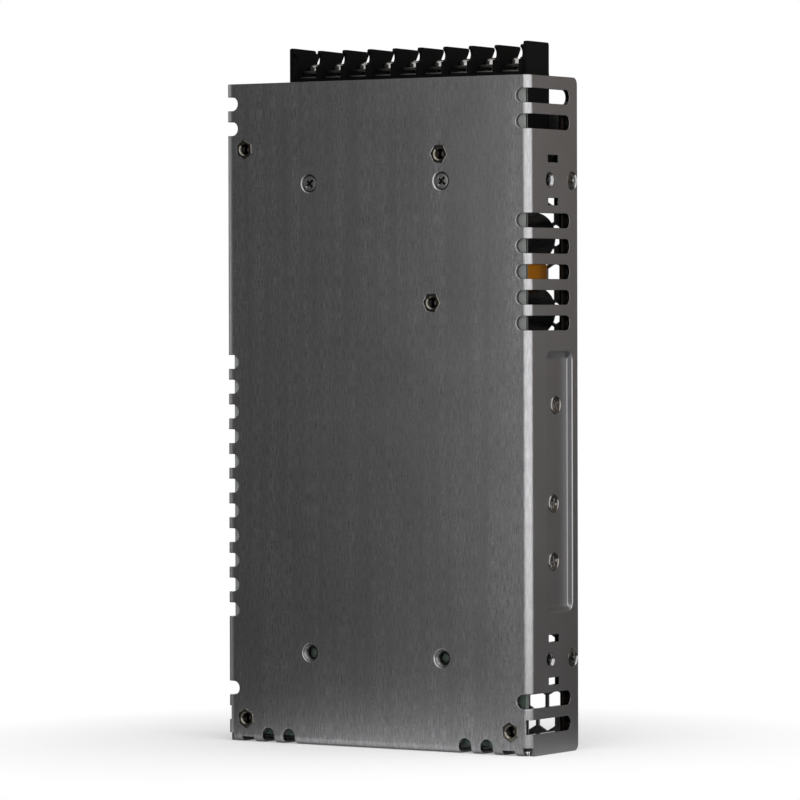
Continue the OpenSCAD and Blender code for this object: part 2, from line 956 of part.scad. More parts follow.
module terminal_screws()
    color("silver")
        for (i = [0 : terminals - 1])
            translate([bay_x(i), y0 + term_mid_d, head_z])
                pan_screw(term_head_dia, term_head_h, term_screw_dia, head_z - bay_z + term_screw_dia);

// Power devices behind the recess
module thermal_pad() {
    pad_z0 = device_heights[0] - device_w / 2 - device_play;
    pad_z1 = device_heights[2] + device_w / 2 + device_play;
    color("lightsteelblue")
        bar(pad_x, recess_floor_x)
            difference() {
                translate([device_mid_d - device_h / 2 + device_play, pad_z0])
                    square([device_h - 2 * device_play, pad_z1 - pad_z0]);
                for (p = device_screw_places)
                    translate(p)
                        circle(d = screw_dia + 4 * hole_play);
            }
}

module power_devices() {
    lead_step = 2.54;
    color("dimgray")
        for (z = device_heights) {
            difference() {
                bar(device_x, pad_x)
                    translate([device_mid_d - device_h / 2 + device_play, z - device_w / 2])
                        square([device_h, device_w]);
                // Step at the top of the case, where the mounting tab is thinner
                bar(device_x - cut, pad_x - device_t / 2)
                    translate([device_mid_d + device_h / 4, z - device_w])
                        square([device_h, 2 * device_w]);
            }
            for (i = [-1 : 1])
                stand(device_x + device_t / 4, board_top, z + i * lead_step)
                    cylinder(h = device_mid_d - device_h / 4 - board_top, d = lead_dia, $fn = 16);
        }
}

// Spring bars that the screws pull onto the devices
module device_clamps() {
    bar_h = 7;
    bar_r = 1;
    low_span = [low_screw_z - screw_dia, mid_screw_z + screw_dia];
    high_span = [high_screw_z - device_step - device_w / 4, high_screw_z + device_step + device_w / 4];
    color("slategray")
        bar(device_clamp_x, device_x)
            difference() {
                for (span = [low_span, high_span])
                    translate([device_mid_d - bar_h / 2, span[0]])
                        rounded_2d(bar_h, span[1] - span[0], bar_r);
                for (p = device_screw_places)
                    translate(p)
                        circle(d = screw_dia + hole_play);
            }
}

module device_screws()
    color("silver")
        for (p = device_screw_places)
            translate([half - recess_press, y0 + p.x, p.y])
                rotate([0, 90, 0])
                    pan_screw(pan_head_dia, low_head_h, screw_dia, half - recess_press - device_clamp_x + cut);

// Input side
module bulk_capacitors()
    color("black")
        for (s = [-1, 1])
            stand(bulk_x, board_top, x_cap_z + s * bulk_step)
                can(bulk_dia, tall_h);

module x_capacitor()
    color("darkgoldenrod")
        slab(board_top, board_top + x_cap_h)
            translate([x_cap_x1 - x_cap_w, x_cap_z - x_cap_t / 2])
                rounded_2d(x_cap_w, x_cap_t, x_cap_r);

module fuse() {
    cap_l = 5;
    cap_step = 0.3;
    color("beige")
        translate([fuse_x - fuse_l / 2, y0 + board_top + fuse_dia / 2, fuse_z])
            rotate([0, 90, 0]) {
                cylinder(h = fuse_l, d = fuse_dia - 2 * cap_step);
                for (x = [0, fuse_l - cap_l])
                    translate([0, 0, x])
                        cylinder(h = cap_l, d = fuse_dia);
            }
}

module thermistor()
    color("darkslategray")
        leaded_disc(thermistor_x, choke_z, thermistor_dia, thermistor_t);

module varistor()
    color("steelblue")
        leaded_disc(varistor_x, choke_z, varistor_dia, varistor_t);

module y_capacitors()
    color("royalblue")
        for (i = [0, 1])
            leaded_disc(y_cap_x, choke_z - (i - 0.5) * (y_cap_dia + 2 * part_gap), y_cap_dia, y_cap_t);

// Frame core that lies along the board, with a winding on each long leg
module choke_legs_2d(leg)
    for (s = [-1, 1])
        translate([s * (choke_w - choke_leg) / 2, 0])
            square([leg, leg], center = true);

module line_choke_core() {
    mid_d = board_top + choke_leg / 2 + choke_wire;
    color("darkslategray")
        slab(mid_d - choke_leg / 2, mid_d + choke_leg / 2)
            translate([choke_x, choke_z])
                difference() {
                    square([choke_w, choke_l], center = true);
                    square([choke_w - 2 * choke_leg, choke_l - 2 * choke_leg], center = true);
                }
}

module line_choke_windings() {
    mid_d = board_top + choke_leg / 2 + choke_wire;
    wound_l = choke_l - 2 * choke_leg - 2 * wire_play;
    winding = choke_leg + 2 * choke_wire;
    color("peru")
        prism(choke_z - wound_l / 2, choke_z + wound_l / 2)
            translate([choke_x, mid_d])
                difference() {
                    for (s = [-1, 1])
                        translate([s * (choke_w - choke_leg) / 2 - winding / 2, -winding / 2])
                            rounded_2d(winding, winding, choke_wire);
                    choke_legs_2d(choke_leg + 2 * wire_play);
                }
}

module bridge_rectifier() {
    lead_step = bridge_w / 4;
    stand_off = 2;
    color("dimgray") {
        slab(board_top + stand_off, board_top + stand_off + bridge_h)
            translate([bridge_x - bridge_w / 2, bridge_z - bridge_t / 2])
                square([bridge_w, bridge_t]);
        for (i = [-1.5 : 1.5])
            stand(bridge_x + i * lead_step, board_top, bridge_z)
                cylinder(h = stand_off + cut, d = lead_dia, $fn = 16);
    }
}

// Transformer
module transformer_core()
    color("darkslategray")
        slab(core_d - core_t / 2, core_d + core_t / 2)
            translate([core_x, core_z])
                difference() {
                    square([core_w, core_l], center = true);
                    for (s = [-1, 1])
                        translate([s * (core_leg + core_window_w) / 2, 0])
                            square([core_window_w, core_window_l], center = true);
                }

module transformer_bobbin() {
    leg_hole = core_leg + 2 * bobbin_play;
    color("ivory")
        translate([core_x, y0 + core_d, core_z - bobbin_l / 2])
            difference() {
                union() {
                    translate([-bobbin_leg / 2, -(core_t + bobbin_leg - core_leg) / 2, 0])
                        cube([bobbin_leg, core_t + bobbin_leg - core_leg, bobbin_l]);
                    for (z = [0, bobbin_l - flange_t])
                        translate([-flange_w / 2, -tall_h / 2, z])
                            cube([flange_w, tall_h, flange_t]);
                }
                translate([-leg_hole / 2, -core_t / 2 - bobbin_play, -cut])
                    cube([leg_hole, core_t + 2 * bobbin_play, bobbin_l + 2 * cut]);
            }
}

module transformer_winding() {
    wound_inset = 0.6;
    wound_r = 3;
    wound_w = flange_w - 2 * wound_inset;
    wound_h = tall_h - 2 * wound_inset;
    wound_l = bobbin_l - 2 * flange_t - 2 * bobbin_play;
    hole_w = bobbin_leg + 2 * bobbin_play;
    hole_h = core_t + bobbin_leg - core_leg + 2 * bobbin_play;
    color("orange")
        translate([core_x, y0 + core_d, core_z - wound_l / 2])
            linear_extrude(wound_l)
                difference() {
                    translate([-wound_w / 2, -wound_h / 2])
                        rounded_2d(wound_w, wound_h, wound_r);
                    square([hole_w, hole_h], center = true);
                }
}

// Output side
module output_inductor_core()
    color("khaki")
        stand(ring_x, board_top + wire_t + wire_play, ring_z)
            difference() {
                cylinder(h = ring_h, d = ring_dia);
                translate([0, 0, -cut])
                    cylinder(h = ring_h + 2 * cut, d = ring_dia - 2 * ring_wall);
            }

module output_inductor_winding() {
    gap_w = ring_wall + 2 * wire_play;
    gap_h = ring_h + 2 * wire_play;
    color("chocolate")
        stand(ring_x, board_top, ring_z)
            for (i = [0 : ring_turns - 1])
                rotate(i * 360 / ring_turns)
                    translate([ring_dia / 2 - ring_wall / 2, wire_t / 2, wire_t + gap_h / 2])
                        rotate([90, 0, 0])
                            linear_extrude(wire_t)
                                difference() {
                                    square([gap_w + 2 * wire_t, gap_h + 2 * wire_t], center = true);
                                    square([gap_w, gap_h], center = true);
                                }
}

module output_capacitors()
    color("midnightblue")
        for (i = [0 : output_caps - 1])
            stand(output_cap_x, board_top, output_cap_z + i * output_cap_step)
                can(output_cap_dia, tall_h);

// Control side
module control_module()
    color("green")
        bar(module_x, module_x + board_t / 2)
            translate([board_top, module_z - module_l / 2])
                square([module_h, module_l]);

module control_chip()
    color("black")
        bar(module_x - chip_t, module_x)
            translate([board_top + module_h / 2 - chip_h / 2, module_z - chip_l / 2])
                square([chip_h, chip_l]);

module optocouplers() {
    leg = 0.5;
    color("black")
        for (i = [-1, 1]) {
            slab(board_top + leg, board_top + leg + opto_h)
                translate([opto_x, module_z + i * opto_l])
                    square([opto_w, opto_l], center = true);
            slab(board_top, board_top + leg + opto_h / 2)
                for (sx = [-1, 1], sz = [-1, 1])
                    translate([opto_x + sx * opto_w / 2, module_z + i * opto_l + sz * opto_l / 4])
                        square(2 * leg, center = true);
        }
}

module power_resistors() {
    step = 3 * resistor_dia;
    reach = resistor_l / 2 + lead_dia;
    mid_d = board_top + resistor_dia / 2 + hole_play;
    color("lightblue")
        for (i = [-1 : 1])
            translate([i * step, 0, 0]) {
                translate([0, y0 + mid_d, resistor_z - resistor_l / 2])
                    cylinder(h = resistor_l, d = resistor_dia);
                translate([0, y0 + mid_d, resistor_z - reach])
                    cylinder(h = 2 * reach, d = lead_dia, $fn = 16);
                for (s = [-1, 1])
                    stand(0, board_top, resistor_z + s * reach)
                        cylinder(h = resistor_dia / 2 + hole_play, d = lead_dia, $fn = 16);
            }
}

// Beside the terminal block
module indicator_led() {
    tip = led_dia;
    mid_d = board_top + led_dia / 2 + led_rim + hole_play;
    color("limegreen") {
        translate([led_x, y0 + mid_d, led_z]) {
            cylinder(h = led_dia / 3, d = led_dia + 2 * led_rim);
            cylinder(h = tip, d = led_dia);
            translate([0, 0, tip])
                sphere(d = led_dia);
        }
        for (s = [-1, 1])
            stand(led_x + s * led_dia / 4, board_top, led_z + led_dia / 6)
                cylinder(h = led_dia / 2, d = lead_dia / 2, $fn = 16);
    }
}

module trimmer_body()
    color("navy")
        difference() {
            prism(trimmer_z, trimmer_z + trimmer_l)
                translate([trimmer_x - trimmer_w / 2, board_top])
                    rounded_2d(trimmer_w, trimmer_h, trimmer_r);
            translate([trimmer_x, y0 + board_top + trimmer_h / 2, trimmer_z + trimmer_l - rotor_seat])
                cylinder(h = rotor_seat + cut, d = rotor_dia + 2 * hole_play);
        }

module trimmer_rotor()
    color("white")
        translate([trimmer_x, y0 + board_top + trimmer_h / 2, trimmer_z + trimmer_l - rotor_seat])
            difference() {
                cylinder(h = rotor_h, d = rotor_dia);
                translate([0, 0, rotor_h])
                    cross_recess(rotor_dia * 0.7, rotor_h / 2);
            }

chassis();
cover();
cover_screws();
insulating_sheet();
circuit_board();
board_standoffs();
board_screws();
terminal_block();
terminal_contacts();
terminal_clamps();
terminal_screws();
thermal_pad();
power_devices();
device_clamps();
device_screws();
bulk_capacitors();
x_capacitor();
fuse();
thermistor();
varistor();
y_capacitors();
line_choke_core();
line_choke_windings();
bridge_rectifier();
transformer_core();
transformer_bobbin();
transformer_winding();
output_inductor_core();
output_inductor_winding();
output_capacitors();
control_module();
control_chip();
optocouplers();
power_resistors();
indicator_led();
trimmer_body();
trimmer_rotor();
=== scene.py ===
import math

import bmesh
import bpy
from bpy.props import FloatProperty, FloatVectorProperty, IntProperty, PointerProperty
from mathutils import Matrix, Vector
from mathutils.geometry import delaunay_2d_cdt


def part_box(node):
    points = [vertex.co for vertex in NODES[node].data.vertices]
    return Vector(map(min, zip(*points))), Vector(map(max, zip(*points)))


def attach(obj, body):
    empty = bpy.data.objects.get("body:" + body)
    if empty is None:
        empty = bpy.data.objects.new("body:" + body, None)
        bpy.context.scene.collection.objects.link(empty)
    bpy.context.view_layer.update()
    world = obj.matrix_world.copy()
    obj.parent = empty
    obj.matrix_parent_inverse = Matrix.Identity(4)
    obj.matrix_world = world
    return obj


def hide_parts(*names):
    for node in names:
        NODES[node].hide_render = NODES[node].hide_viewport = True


bl_info = {
    "name": "Enclosed power supply",
    "version": (1, 0, 0),
    "blender": (4, 5, 0),
    "location": "View3D > Sidebar > Power supply",
    "description": "Dresses the packed power supply with folded sheet, screw terminals and board parts",
    "category": "Object",
}

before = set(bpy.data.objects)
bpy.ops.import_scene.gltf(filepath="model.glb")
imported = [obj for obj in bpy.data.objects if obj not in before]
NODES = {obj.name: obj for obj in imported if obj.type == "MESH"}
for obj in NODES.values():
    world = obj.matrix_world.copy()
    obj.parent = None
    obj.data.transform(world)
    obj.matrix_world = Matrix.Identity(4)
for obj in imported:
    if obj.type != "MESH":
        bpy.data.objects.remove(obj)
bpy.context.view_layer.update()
MM = 0.001


# Settings


def length(name, description, default):
    return FloatProperty(name=name, description=description, default=default * MM, min=0.0,
                         precision=5, unit="LENGTH", subtype="DISTANCE")


def colour(name, description, default):
    return FloatVectorProperty(name=name, description=description, default=default, size=3,
                               min=0.0, max=1.0, subtype="COLOR")


def share(name, description, default, most=1.0):
    return FloatProperty(name=name, description=description, default=default, min=0.0, max=most,
                         subtype="FACTOR" if most == 1.0 else "NONE")


class CaseSettings(bpy.types.PropertyGroup):
    """Sizes of the folded chassis"""

    sheet: length("Sheet", "Thickness of the chassis sheet", 1.5)
    bend: length("Bend radius", "Outer radius of the chassis bends", 2.3)
    edge: length("Edge round", "Radius on the punched edges of the sheet", 0.11)
    corner: length("Corner radius", "Radius on the free corners of the walls", 2.2)
    fold_gap: length("Fold gap", "Play between the folds that meet at a lower corner", 0.3)
    slot: length("Slot width", "Width of a vent slot", 4.5)
    slot_reach: length("Slot reach", "Reach of a slot onto the base plate", 4.85)
    slot_far: length("Slot depth", "Depth of a slot's far end", 24.2)
    mouth: length("Hole mouth", "Diameter of the mouth of a tapped hole in the base", 6.5)
    side_mouth: length("Side hole mouth", "Diameter of the mouth of a tapped hole in the wall", 4.9)
    bore: length("Hole bore", "Tapping bore of the holes", 3.3)
    collar: length("Collar", "Outer diameter of the collar drawn up round a hole", 5.6)
    collar_rise: length("Collar rise", "Length of the collar inside the sheet", 1.3)
    bend_stop: length("Bend stop", "Run of a bend that the slots beside the standoffs leave whole", 0.74)
    press: length("Recess press", "How far the recess is pressed in", 1.9)
    recess_round: length("Recess corner", "Corner radius of the recess", 3.2)
    side_round: length("Recess side", "Bend radius along the recess's steep long sides", 0.36)
    end_run: length("Recess end", "Run of the recess's sloping ends", 2.2)


class CoverSettings(bpy.types.PropertyGroup):
    """Sizes of the perforated cover"""

    sheet: length("Sheet", "Thickness of the cover sheet", 1.0)
    bend: length("Bend radius", "Outer radius of the cover's bends", 1.6)
    flats: length("Across flats", "Width of a perforation across its flats", 6.1)
    pitch: length("Pitch", "Distance between perforations in a row", 7.04)
    row_pitch: length("Row pitch", "Distance between rows of perforations", 6.14)
    first_row: length("First row", "Height of the lowest row of perforations", 8.97)
    rows: IntProperty(name="Rows", description="Number of rows of perforations", default=28, min=1)
    columns: IntProperty(name="Columns", description="Perforations in an even row", default=14, min=1)


class TerminalSettings(bpy.types.PropertyGroup):
    """Sizes of the terminal strip"""

    bays: IntProperty(name="Bays", description="Number of terminals", default=9, min=1)
    pitch: length("Pitch", "Distance between neighbouring terminals", 9.55)
    bay: length("Bay width", "Clear width of a terminal's bay", 8.45)
    head: length("Screw head", "Head diameter of a terminal screw", 6.4)
    head_rise: length("Head height", "Head height of a terminal screw", 2.3)
    thread: length("Screw thread", "Thread diameter of a terminal screw", 3.4)
    clamp: length("Clamp width", "Width of a square clamping washer", 7.0)


class FinishSettings(bpy.types.PropertyGroup):
    """Colours of the finishes"""

    sheet: colour("Sheet", "Colour of the brushed chassis sheet", (0.367, 0.366, 0.375))
    cover: colour("Cover", "Colour of the cover sheet", (0.40, 0.40, 0.40))
    steel: colour("Plated steel", "Colour of the screws and clamps", (0.44, 0.436, 0.43))
    brass: colour("Standoffs", "Colour of the plated standoffs", (0.30, 0.28, 0.24))
    block: colour("Block", "Colour of the terminal block", (0.0020, 0.0020, 0.0021))
    sleeve: colour("Sleeve", "Colour of the capacitors' sleeves", (0.004, 0.004, 0.0042))
    amber: colour("Filter capacitor", "Colour of the line filter capacitor", (0.31, 0.108, 0.001))
    board: colour("Board", "Colour of the board's solder resist", (0.100, 0.135, 0.115))
    tape: colour("Tape", "Colour of the transformer's tape", (0.72, 0.47, 0.03))
    wire: colour("Wire", "Colour of the enamelled wire", (0.46, 0.16, 0.05))


class StageSettings(bpy.types.PropertyGroup):
    """Floor, light and camera"""

    floor: colour("Floor", "Colour of the floor", (0.82, 0.82, 0.82))
    surround: share("Surround", "Soft light from all round", 0.4, 10.0)
    mirrored: colour("Mirrored room", "Dark side of the room as it shows in polished metal", (0.06, 0.06, 0.06))
    aside: colour("Mirrored side", "Right side of the room as it shows in polished metal", (0.150, 0.122, 0.098))
    key: share("Key light", "Power of the softbox beside the camera, in watts", 1.35, 1000.0)
    top: share("Top light", "Power of the softbox above, in watts", 2.0, 1000.0)
    lens: FloatProperty(name="Lens", description="Focal length in millimetres", default=216.47, min=1.0)
    camera: FloatVectorProperty(name="Camera", description="Place of the camera", size=3,
                                default=(0.837207, -1.287792, 0.137655), subtype="TRANSLATION")
    aim: FloatVectorProperty(name="Aim", description="Yaw, pitch and roll of the camera", size=3,
                             default=(math.radians(33.0357), math.radians(-1.0193), math.radians(-0.1521)),
                             subtype="EULER")


SETTINGS = {
    "supply_case": CaseSettings,
    "supply_cover": CoverSettings,
    "supply_terminals": TerminalSettings,
    "supply_finish": FinishSettings,
    "supply_stage": StageSettings,
}


def settings(name):
    return getattr(bpy.context.scene, "supply_" + name)


class Sizes:
    """Reads lengths of a settings group in millimetres."""

    def __init__(self, name):
        self.group = settings(name)

    def __getattr__(self, key):
        value = getattr(self.group, key)
        return value / MM if isinstance(value, float) else value


# Places on the case, in millimetres: depth is measured from the base plate's outer face

CASE_LOW, CASE_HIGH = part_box("chassis")
FACE_Y = CASE_LOW.y / MM
HALF = CASE_HIGH.x / MM
TOP = CASE_HIGH.z / MM
WALL_D = (CASE_HIGH.y - CASE_LOW.y) / MM
HOLE_HEIGHTS = (29.5, 179.5)
HOLE_X = 25.0
RIGHT_HOLE_D = 12.3
WINDOW_D, WINDOW_WIDTH, WINDOW_HEIGHT, WINDOW_STEP = 14.2, 5.9, 2.25, 6.7
COVER_SCREW_D = 25.8
COVER_SCREW_SEAT = ((3.02, 0.0), (2.96, 0.05), (1.95, 1.1), (1.8, 1.25))
COVER_NOTCH = (41.4, 128.6)
SLOT_STEP = 8.0
SHARED_SLOTS = (TOP - 6.4, TOP - 14.4, 17.1)
BEND_SLOT = 9.1
RIGHT_SLOTS = [134.85 + SLOT_STEP * i for i in range(5)]
LEFT_SLOTS = [42.45 + SLOT_STEP * i for i in range(11)]
END_SLOTS = (33.4, 41.4)
END_WALL_SLOT = 49.4
STANDOFFS = ((-50.1, 190.9), (24.2, 188.0), (21.4, 141.3), (-50.1, 7.5), (50.1, 7.5))
STANDOFF_TURNS = (33.0, -3.5, -3.0, 34.0, 33.0)
STANDOFF_FLATS = 5.4
BASE_SCREWS = ((-HOLE_X, 48), (HOLE_X, 41))
RECESS = (9.6, 26.0, 43.9, 126.1)
DEVICE_SCREWS = ((17.1, 60.1), (17.1, 78.3), (18.5, 109.2))
BOARD_TOP = 6.2
FILTER_RISE = 1.6


def box(node):
    """The low and high corners of a node's box, in millimetres."""
    return [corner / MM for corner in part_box(node)]


# Meshes


def add_object(name, mesh, material=None):
    piece = bpy.data.objects.new(name, mesh)
    bpy.context.scene.collection.objects.link(piece)
    if material:
        mesh.materials.clear()
        mesh.materials.append(material)
    return piece


def settle(piece):
    """Turns a piece's modifiers into a plain mesh."""
    graph = bpy.context.evaluated_depsgraph_get()
    graph.update()
    mesh = bpy.data.meshes.new_from_object(piece.evaluated_get(graph))
    mesh.name = piece.name
    piece.modifiers.clear()
    piece.data = mesh
    return piece


def ride(piece, slot, *nodes, body="case"):
    """Hands a finished piece to the frame in the place of its nodes."""
    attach(piece, body)
    if nodes:
        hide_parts(*nodes)


def smooth(mesh, angle):
    mesh.shade_smooth()
    mesh.set_sharp_from_angle(angle=math.radians(angle))


def ended(form, name):
    """The mesh of a finished bmesh."""
    mesh = bpy.data.meshes.new(name)
    form.to_mesh(mesh)
    form.free()
    return mesh


def eased(piece, width, segments=2, angle=35.0, miter="MITER_ARC"):
    """Eases a piece's edges by a width in millimetres and keeps its faces flat."""
    bevel = piece.modifiers.new("Eased edges", "BEVEL")
    bevel.width = width * MM
    bevel.segments = segments
    bevel.limit_method = "ANGLE"
    bevel.angle_limit = math.radians(angle)
    bevel.miter_outer = miter
    piece.modifiers.new("Flat faces", "WEIGHTED_NORMAL").keep_sharp = True
    return settle(piece)


def refined(node, slot, width, segments=2):
    """A copy of a node in its finish, with its facets joined and its edges eased."""
    form = bmesh.new()
    form.from_mesh(NODES[node].data)
    bmesh.ops.remove_doubles(form, verts=form.verts, dist=2e-6)
    bmesh.ops.dissolve_limit(form, angle_limit=math.radians(0.8), verts=form.verts, edges=form.edges)
    mesh = ended(form, node)
    smooth(mesh, 35)
    return eased(add_object(node + "_finished", mesh, finish(slot)), width, segments)


def dress(node, slot, width, segments=2, body="case"):
    """Replaces a node by its refined copy."""
    ride(refined(node, slot, width, segments), slot, node, body=body)


def arc(cx, cy, radius, start, end, steps):
    """Points on an arc, in degrees."""
    turns = [math.radians(start + (end - start) * i / steps) for i in range(steps + 1)]
    return [(cx + radius * math.cos(a), cy + radius * math.sin(a)) for a in turns]


def circle(cx, cy, radius, steps, turn=0.0):
    return arc(cx, cy, radius, turn, turn + 360, steps)[:-1]


def rectangle(width, height, cx=0.0, cy=0.0):
    x, y = width / 2, height / 2
    return [(cx + x, cy + y), (cx - x, cy + y), (cx - x, cy - y), (cx + x, cy - y)]


def rounded_box(width, height, radius, steps=6):
    corners = rectangle(width - 2 * radius, height - 2 * radius)
    return [p for i, (x, y) in enumerate(corners) for p in arc(x, y, radius, 90 * i, 90 * i + 90, steps)]


def loft(stacks, name, caps=False, closed=False):
    """A mesh over stacks of rings of points in millimetres; a ring of one point is a pole."""
    form = bmesh.new()
    for stack in stacks:
        rings = [[form.verts.new(Vector(point) * MM) for point in ring] for ring in stack]
        if caps:
            form.faces.new(rings[0])
            form.faces.new(rings[-1])
        steps = max(len(ring) for ring in rings)
        for near, far in zip(rings, rings[1:] + (rings[:1] if closed else [])):
            for i in range(steps):
                corners = [ring[k % len(ring)] for ring, k in ((near, i), (near, i + 1), (far, i + 1), (far, i))]
                form.faces.new(list(dict.fromkeys(corners)))
    bmesh.ops.recalc_face_normals(form, faces=form.faces)
    return ended(form, name)


def lathe(profile, steps=40, name="Turned"):
    """A mesh turned about Z from (radius, height) pairs in millimetres, from the foot up."""
    rings = [[(x, y, height) for x, y in (circle(0, 0, radius, steps) if radius else [(0, 0)])]
             for radius, height in profile]
    mesh = loft([rings], name)
    smooth(mesh, 40)
    return mesh


def extruded(outline, low, high, name="Extruded"):
    """A prism over an outline of (x, y) pairs in millimetres between two heights."""
    return loft([[[(x, y, z) for x, y in outline] for z in (low, high)]], name, caps=True)


def swept(path, radius, name):
    """A closed wire along a loop of points in millimetres."""
    points = [Vector(p) for p in path]
    middle = sum(points, Vector()) / len(points)
    rings = []
    for i, point in enumerate(points):
        ahead = (points[(i + 1) % len(points)] - points[i - 1]).normalized()
        out = point - middle
        out = (out - ahead * out.dot(ahead)).normalized()
        side = ahead.cross(out)
        rings.append([point + out * x + side * y for x, y in circle(0, 0, radius, 8)])
    mesh = loft([rings], name, closed=True)
    smooth(mesh, 60)
    return mesh


def cross_cutter(width, depth, top):
    """A tapered cross that presses a driver recess into a head."""
    layers = ((1.0, 0.23, top + 1.0), (1.0, 0.23, top), (0.48, 0.17, top - depth))
    arms = [[[(x, y, z) for x, y in rectangle(*(width * reach, width * thick)[::way])] for reach, thick, z in layers]
            for way in (1, -1)]
    return loft(arms, "Driver cross", caps=True)


def slot_cutter(reach, width, depth, top):
    return extruded(rectangle(reach, width), top - depth, top + 1.0, "Driver slot")


def cut_away(mesh, *cutters):
    """A mesh with the cutters' forms taken out of it."""
    piece = add_object(mesh.name, mesh)
    tools = [add_object("Tool", cutter) for cutter in cutters]
    for tool in tools:
        cut = piece.modifiers.new("Cut", "BOOLEAN")
        cut.operation = "DIFFERENCE"
        cut.solver = "EXACT"
        cut.use_self = True
        cut.object = tool
    result = settle(piece).data
    for thing in tools + [piece]:
        bpy.data.objects.remove(thing)
    smooth(result, 38)
    return result


def threads(radius, low, high, pitch, depth):
    """Rings of a thread, as (radius, height) pairs from the foot up."""
    rings = [(0.0, low), (radius - 2 * depth, low), (radius - depth, low + pitch / 2)]
    height = low + pitch / 2
    while height + pitch < high:
        rings += [(radius, height + pitch / 2), (radius - depth, height + pitch)]
        height += pitch
    return rings + [(radius - depth, high)]


# Node trees


class Tree:
    """Adds nodes to one node tree."""

    def __init__(self, tree):
        self.tree = tree

    def put(self, socket, value):
        """Links a socket, or sets it; a colour gets its alpha."""
        if isinstance(value, bpy.types.NodeSocket):
            self.tree.links.new(value, socket)
        else:
            socket.default_value = (*value[:3], 1.0) if socket.type == "RGBA" else value

    def add(self, kind, inputs=None, **attributes):
        node = self.tree.nodes.new(kind)
        for key, value in attributes.items():
            setattr(node, key, value)
        for key, value in (inputs or {}).items():
            self.put(node.inputs[key], value)
        return node

    def out(self, kind, inputs=None, **attributes):
        """The first output of a new node."""
        return self.add(kind, inputs, **attributes).outputs[0]

    def math(self, operation, a, b=0.0, c=0.0):
        return self.out("ShaderNodeMath", {0: a, 1: b, 2: c}, operation=operation)

    def plus(self, a, b):
        return self.math("ADD", a, b)

    def minus(self, a, b):
        return self.math("SUBTRACT", a, b)

    def times(self, a, b):
        return self.math("MULTIPLY", a, b)

    def stretched(self, vector, factors):
        return self.out("ShaderNodeVectorMath", {0: vector, 1: factors}, operation="MULTIPLY")

    def joined(self, x, y, z):
        return self.out("ShaderNodeCombineXYZ", {0: x, 1: y, 2: z})

    def parts(self, vector):
        return self.add("ShaderNodeSeparateXYZ", {0: vector}).outputs

    def mix(self, factor, a, b):
        return self.add("ShaderNodeMix", {0: factor, 6: a, 7: b}, data_type="RGBA").outputs[2]

    def blend(self, value, low, high, to_low=0.0, to_high=1.0):
        keys = {"Value": value, "From Min": low, "From Max": high, "To Min": to_low, "To Max": to_high}
        return self.out("ShaderNodeMapRange", keys)

    def between(self, value, *stops):
        """Rises from 0 to 1 between the first two stops and falls again between the last two."""
        return self.times(self.blend(value, *stops[:2]), self.blend(value, *stops[2:], 1.0, 0.0))

    def noise(self, vector, scale, detail=3.0, rough=0.55):
        keys = {"Vector": vector, "Scale": scale, "Detail": detail, "Roughness": rough}
        return self.out("ShaderNodeTexNoise", keys)

    def realised(self, geometry, material):
        """Ends a geometry tree with real geometry in one material."""
        real = self.out("GeometryNodeRealizeInstances", {"Geometry": geometry})
        return {"Geometry": self.out("GeometryNodeSetMaterial", {"Geometry": real, "Material": material})}

    def group(self, made, **values):
        return self.add("ShaderNodeGroup", values, node_tree=made()).outputs


def node_group(name, kind, **inputs):
    """Wraps a function that adds a group's nodes and returns its outputs, so that the group is made once."""

    def wrap(build):
        def made():
            group = bpy.data.node_groups.get(name)
            if group:
                return group
            group = bpy.data.node_groups.new(name, kind + "NodeTree")
            for label, socket in inputs.items():
                group.interface.new_socket(label.replace("_", " "), in_out="INPUT", socket_type="NodeSocket" + socket)
            outputs = build(Tree(group), group.nodes.new("NodeGroupInput").outputs)
            result = "NodeSocketGeometry" if kind == "Geometry" else "NodeSocketFloat"
            for label in outputs:
                group.interface.new_socket(label, in_out="OUTPUT", socket_type=result)
            end = group.nodes.new("NodeGroupOutput").inputs
            for label, value in outputs.items():
                group.links.new(value, end[label])
            return group

        return made

    return wrap


def run_tree(piece, group, **values):
    """Runs a geometry tree on a piece with values for its named inputs, and keeps the plain mesh."""
    work = piece.modifiers.new(group.name, "NODES")
    work.node_group = group
    for item in group.interface.items_tree:
        key = item.name.replace(" ", "_")
        if item.in_out == "INPUT" and key in values:
            work[item.identifier] = values[key]
    return settle(piece)


@node_group("Copies on points", "Geometry", Geometry="Geometry", Piece="Object", Spin="Float", Seed="Int",
            Finish="Material")
def copies_tree(tree, start):
    """Sets copies of one piece on points, turned by the points' own turns and by a seeded spin."""
    shape = tree.add("GeometryNodeObjectInfo", {"Object": start["Piece"]}, transform_space="ORIGINAL")
    turn = tree.out("GeometryNodeInputNamedAttribute", {"Name": "turn"}, data_type="FLOAT_VECTOR")
    limits = {2: tree.times(start["Spin"], -1.0), 3: start["Spin"], "Seed": start["Seed"]}
    chance = tree.add("FunctionNodeRandomValue", limits, data_type="FLOAT").outputs[1]
    given = tree.out("FunctionNodeEulerToRotation", {0: turn})
    own = tree.out("FunctionNodeEulerToRotation", {0: tree.joined(0.0, 0.0, chance)})
    both = tree.out("FunctionNodeRotateRotation", {0: given, 1: own}, rotation_space="LOCAL")
    copied = tree.out("GeometryNodeInstanceOnPoints", {
        "Points": start["Geometry"], "Instance": shape.outputs["Geometry"], "Rotation": both})
    return tree.realised(copied, start["Finish"])


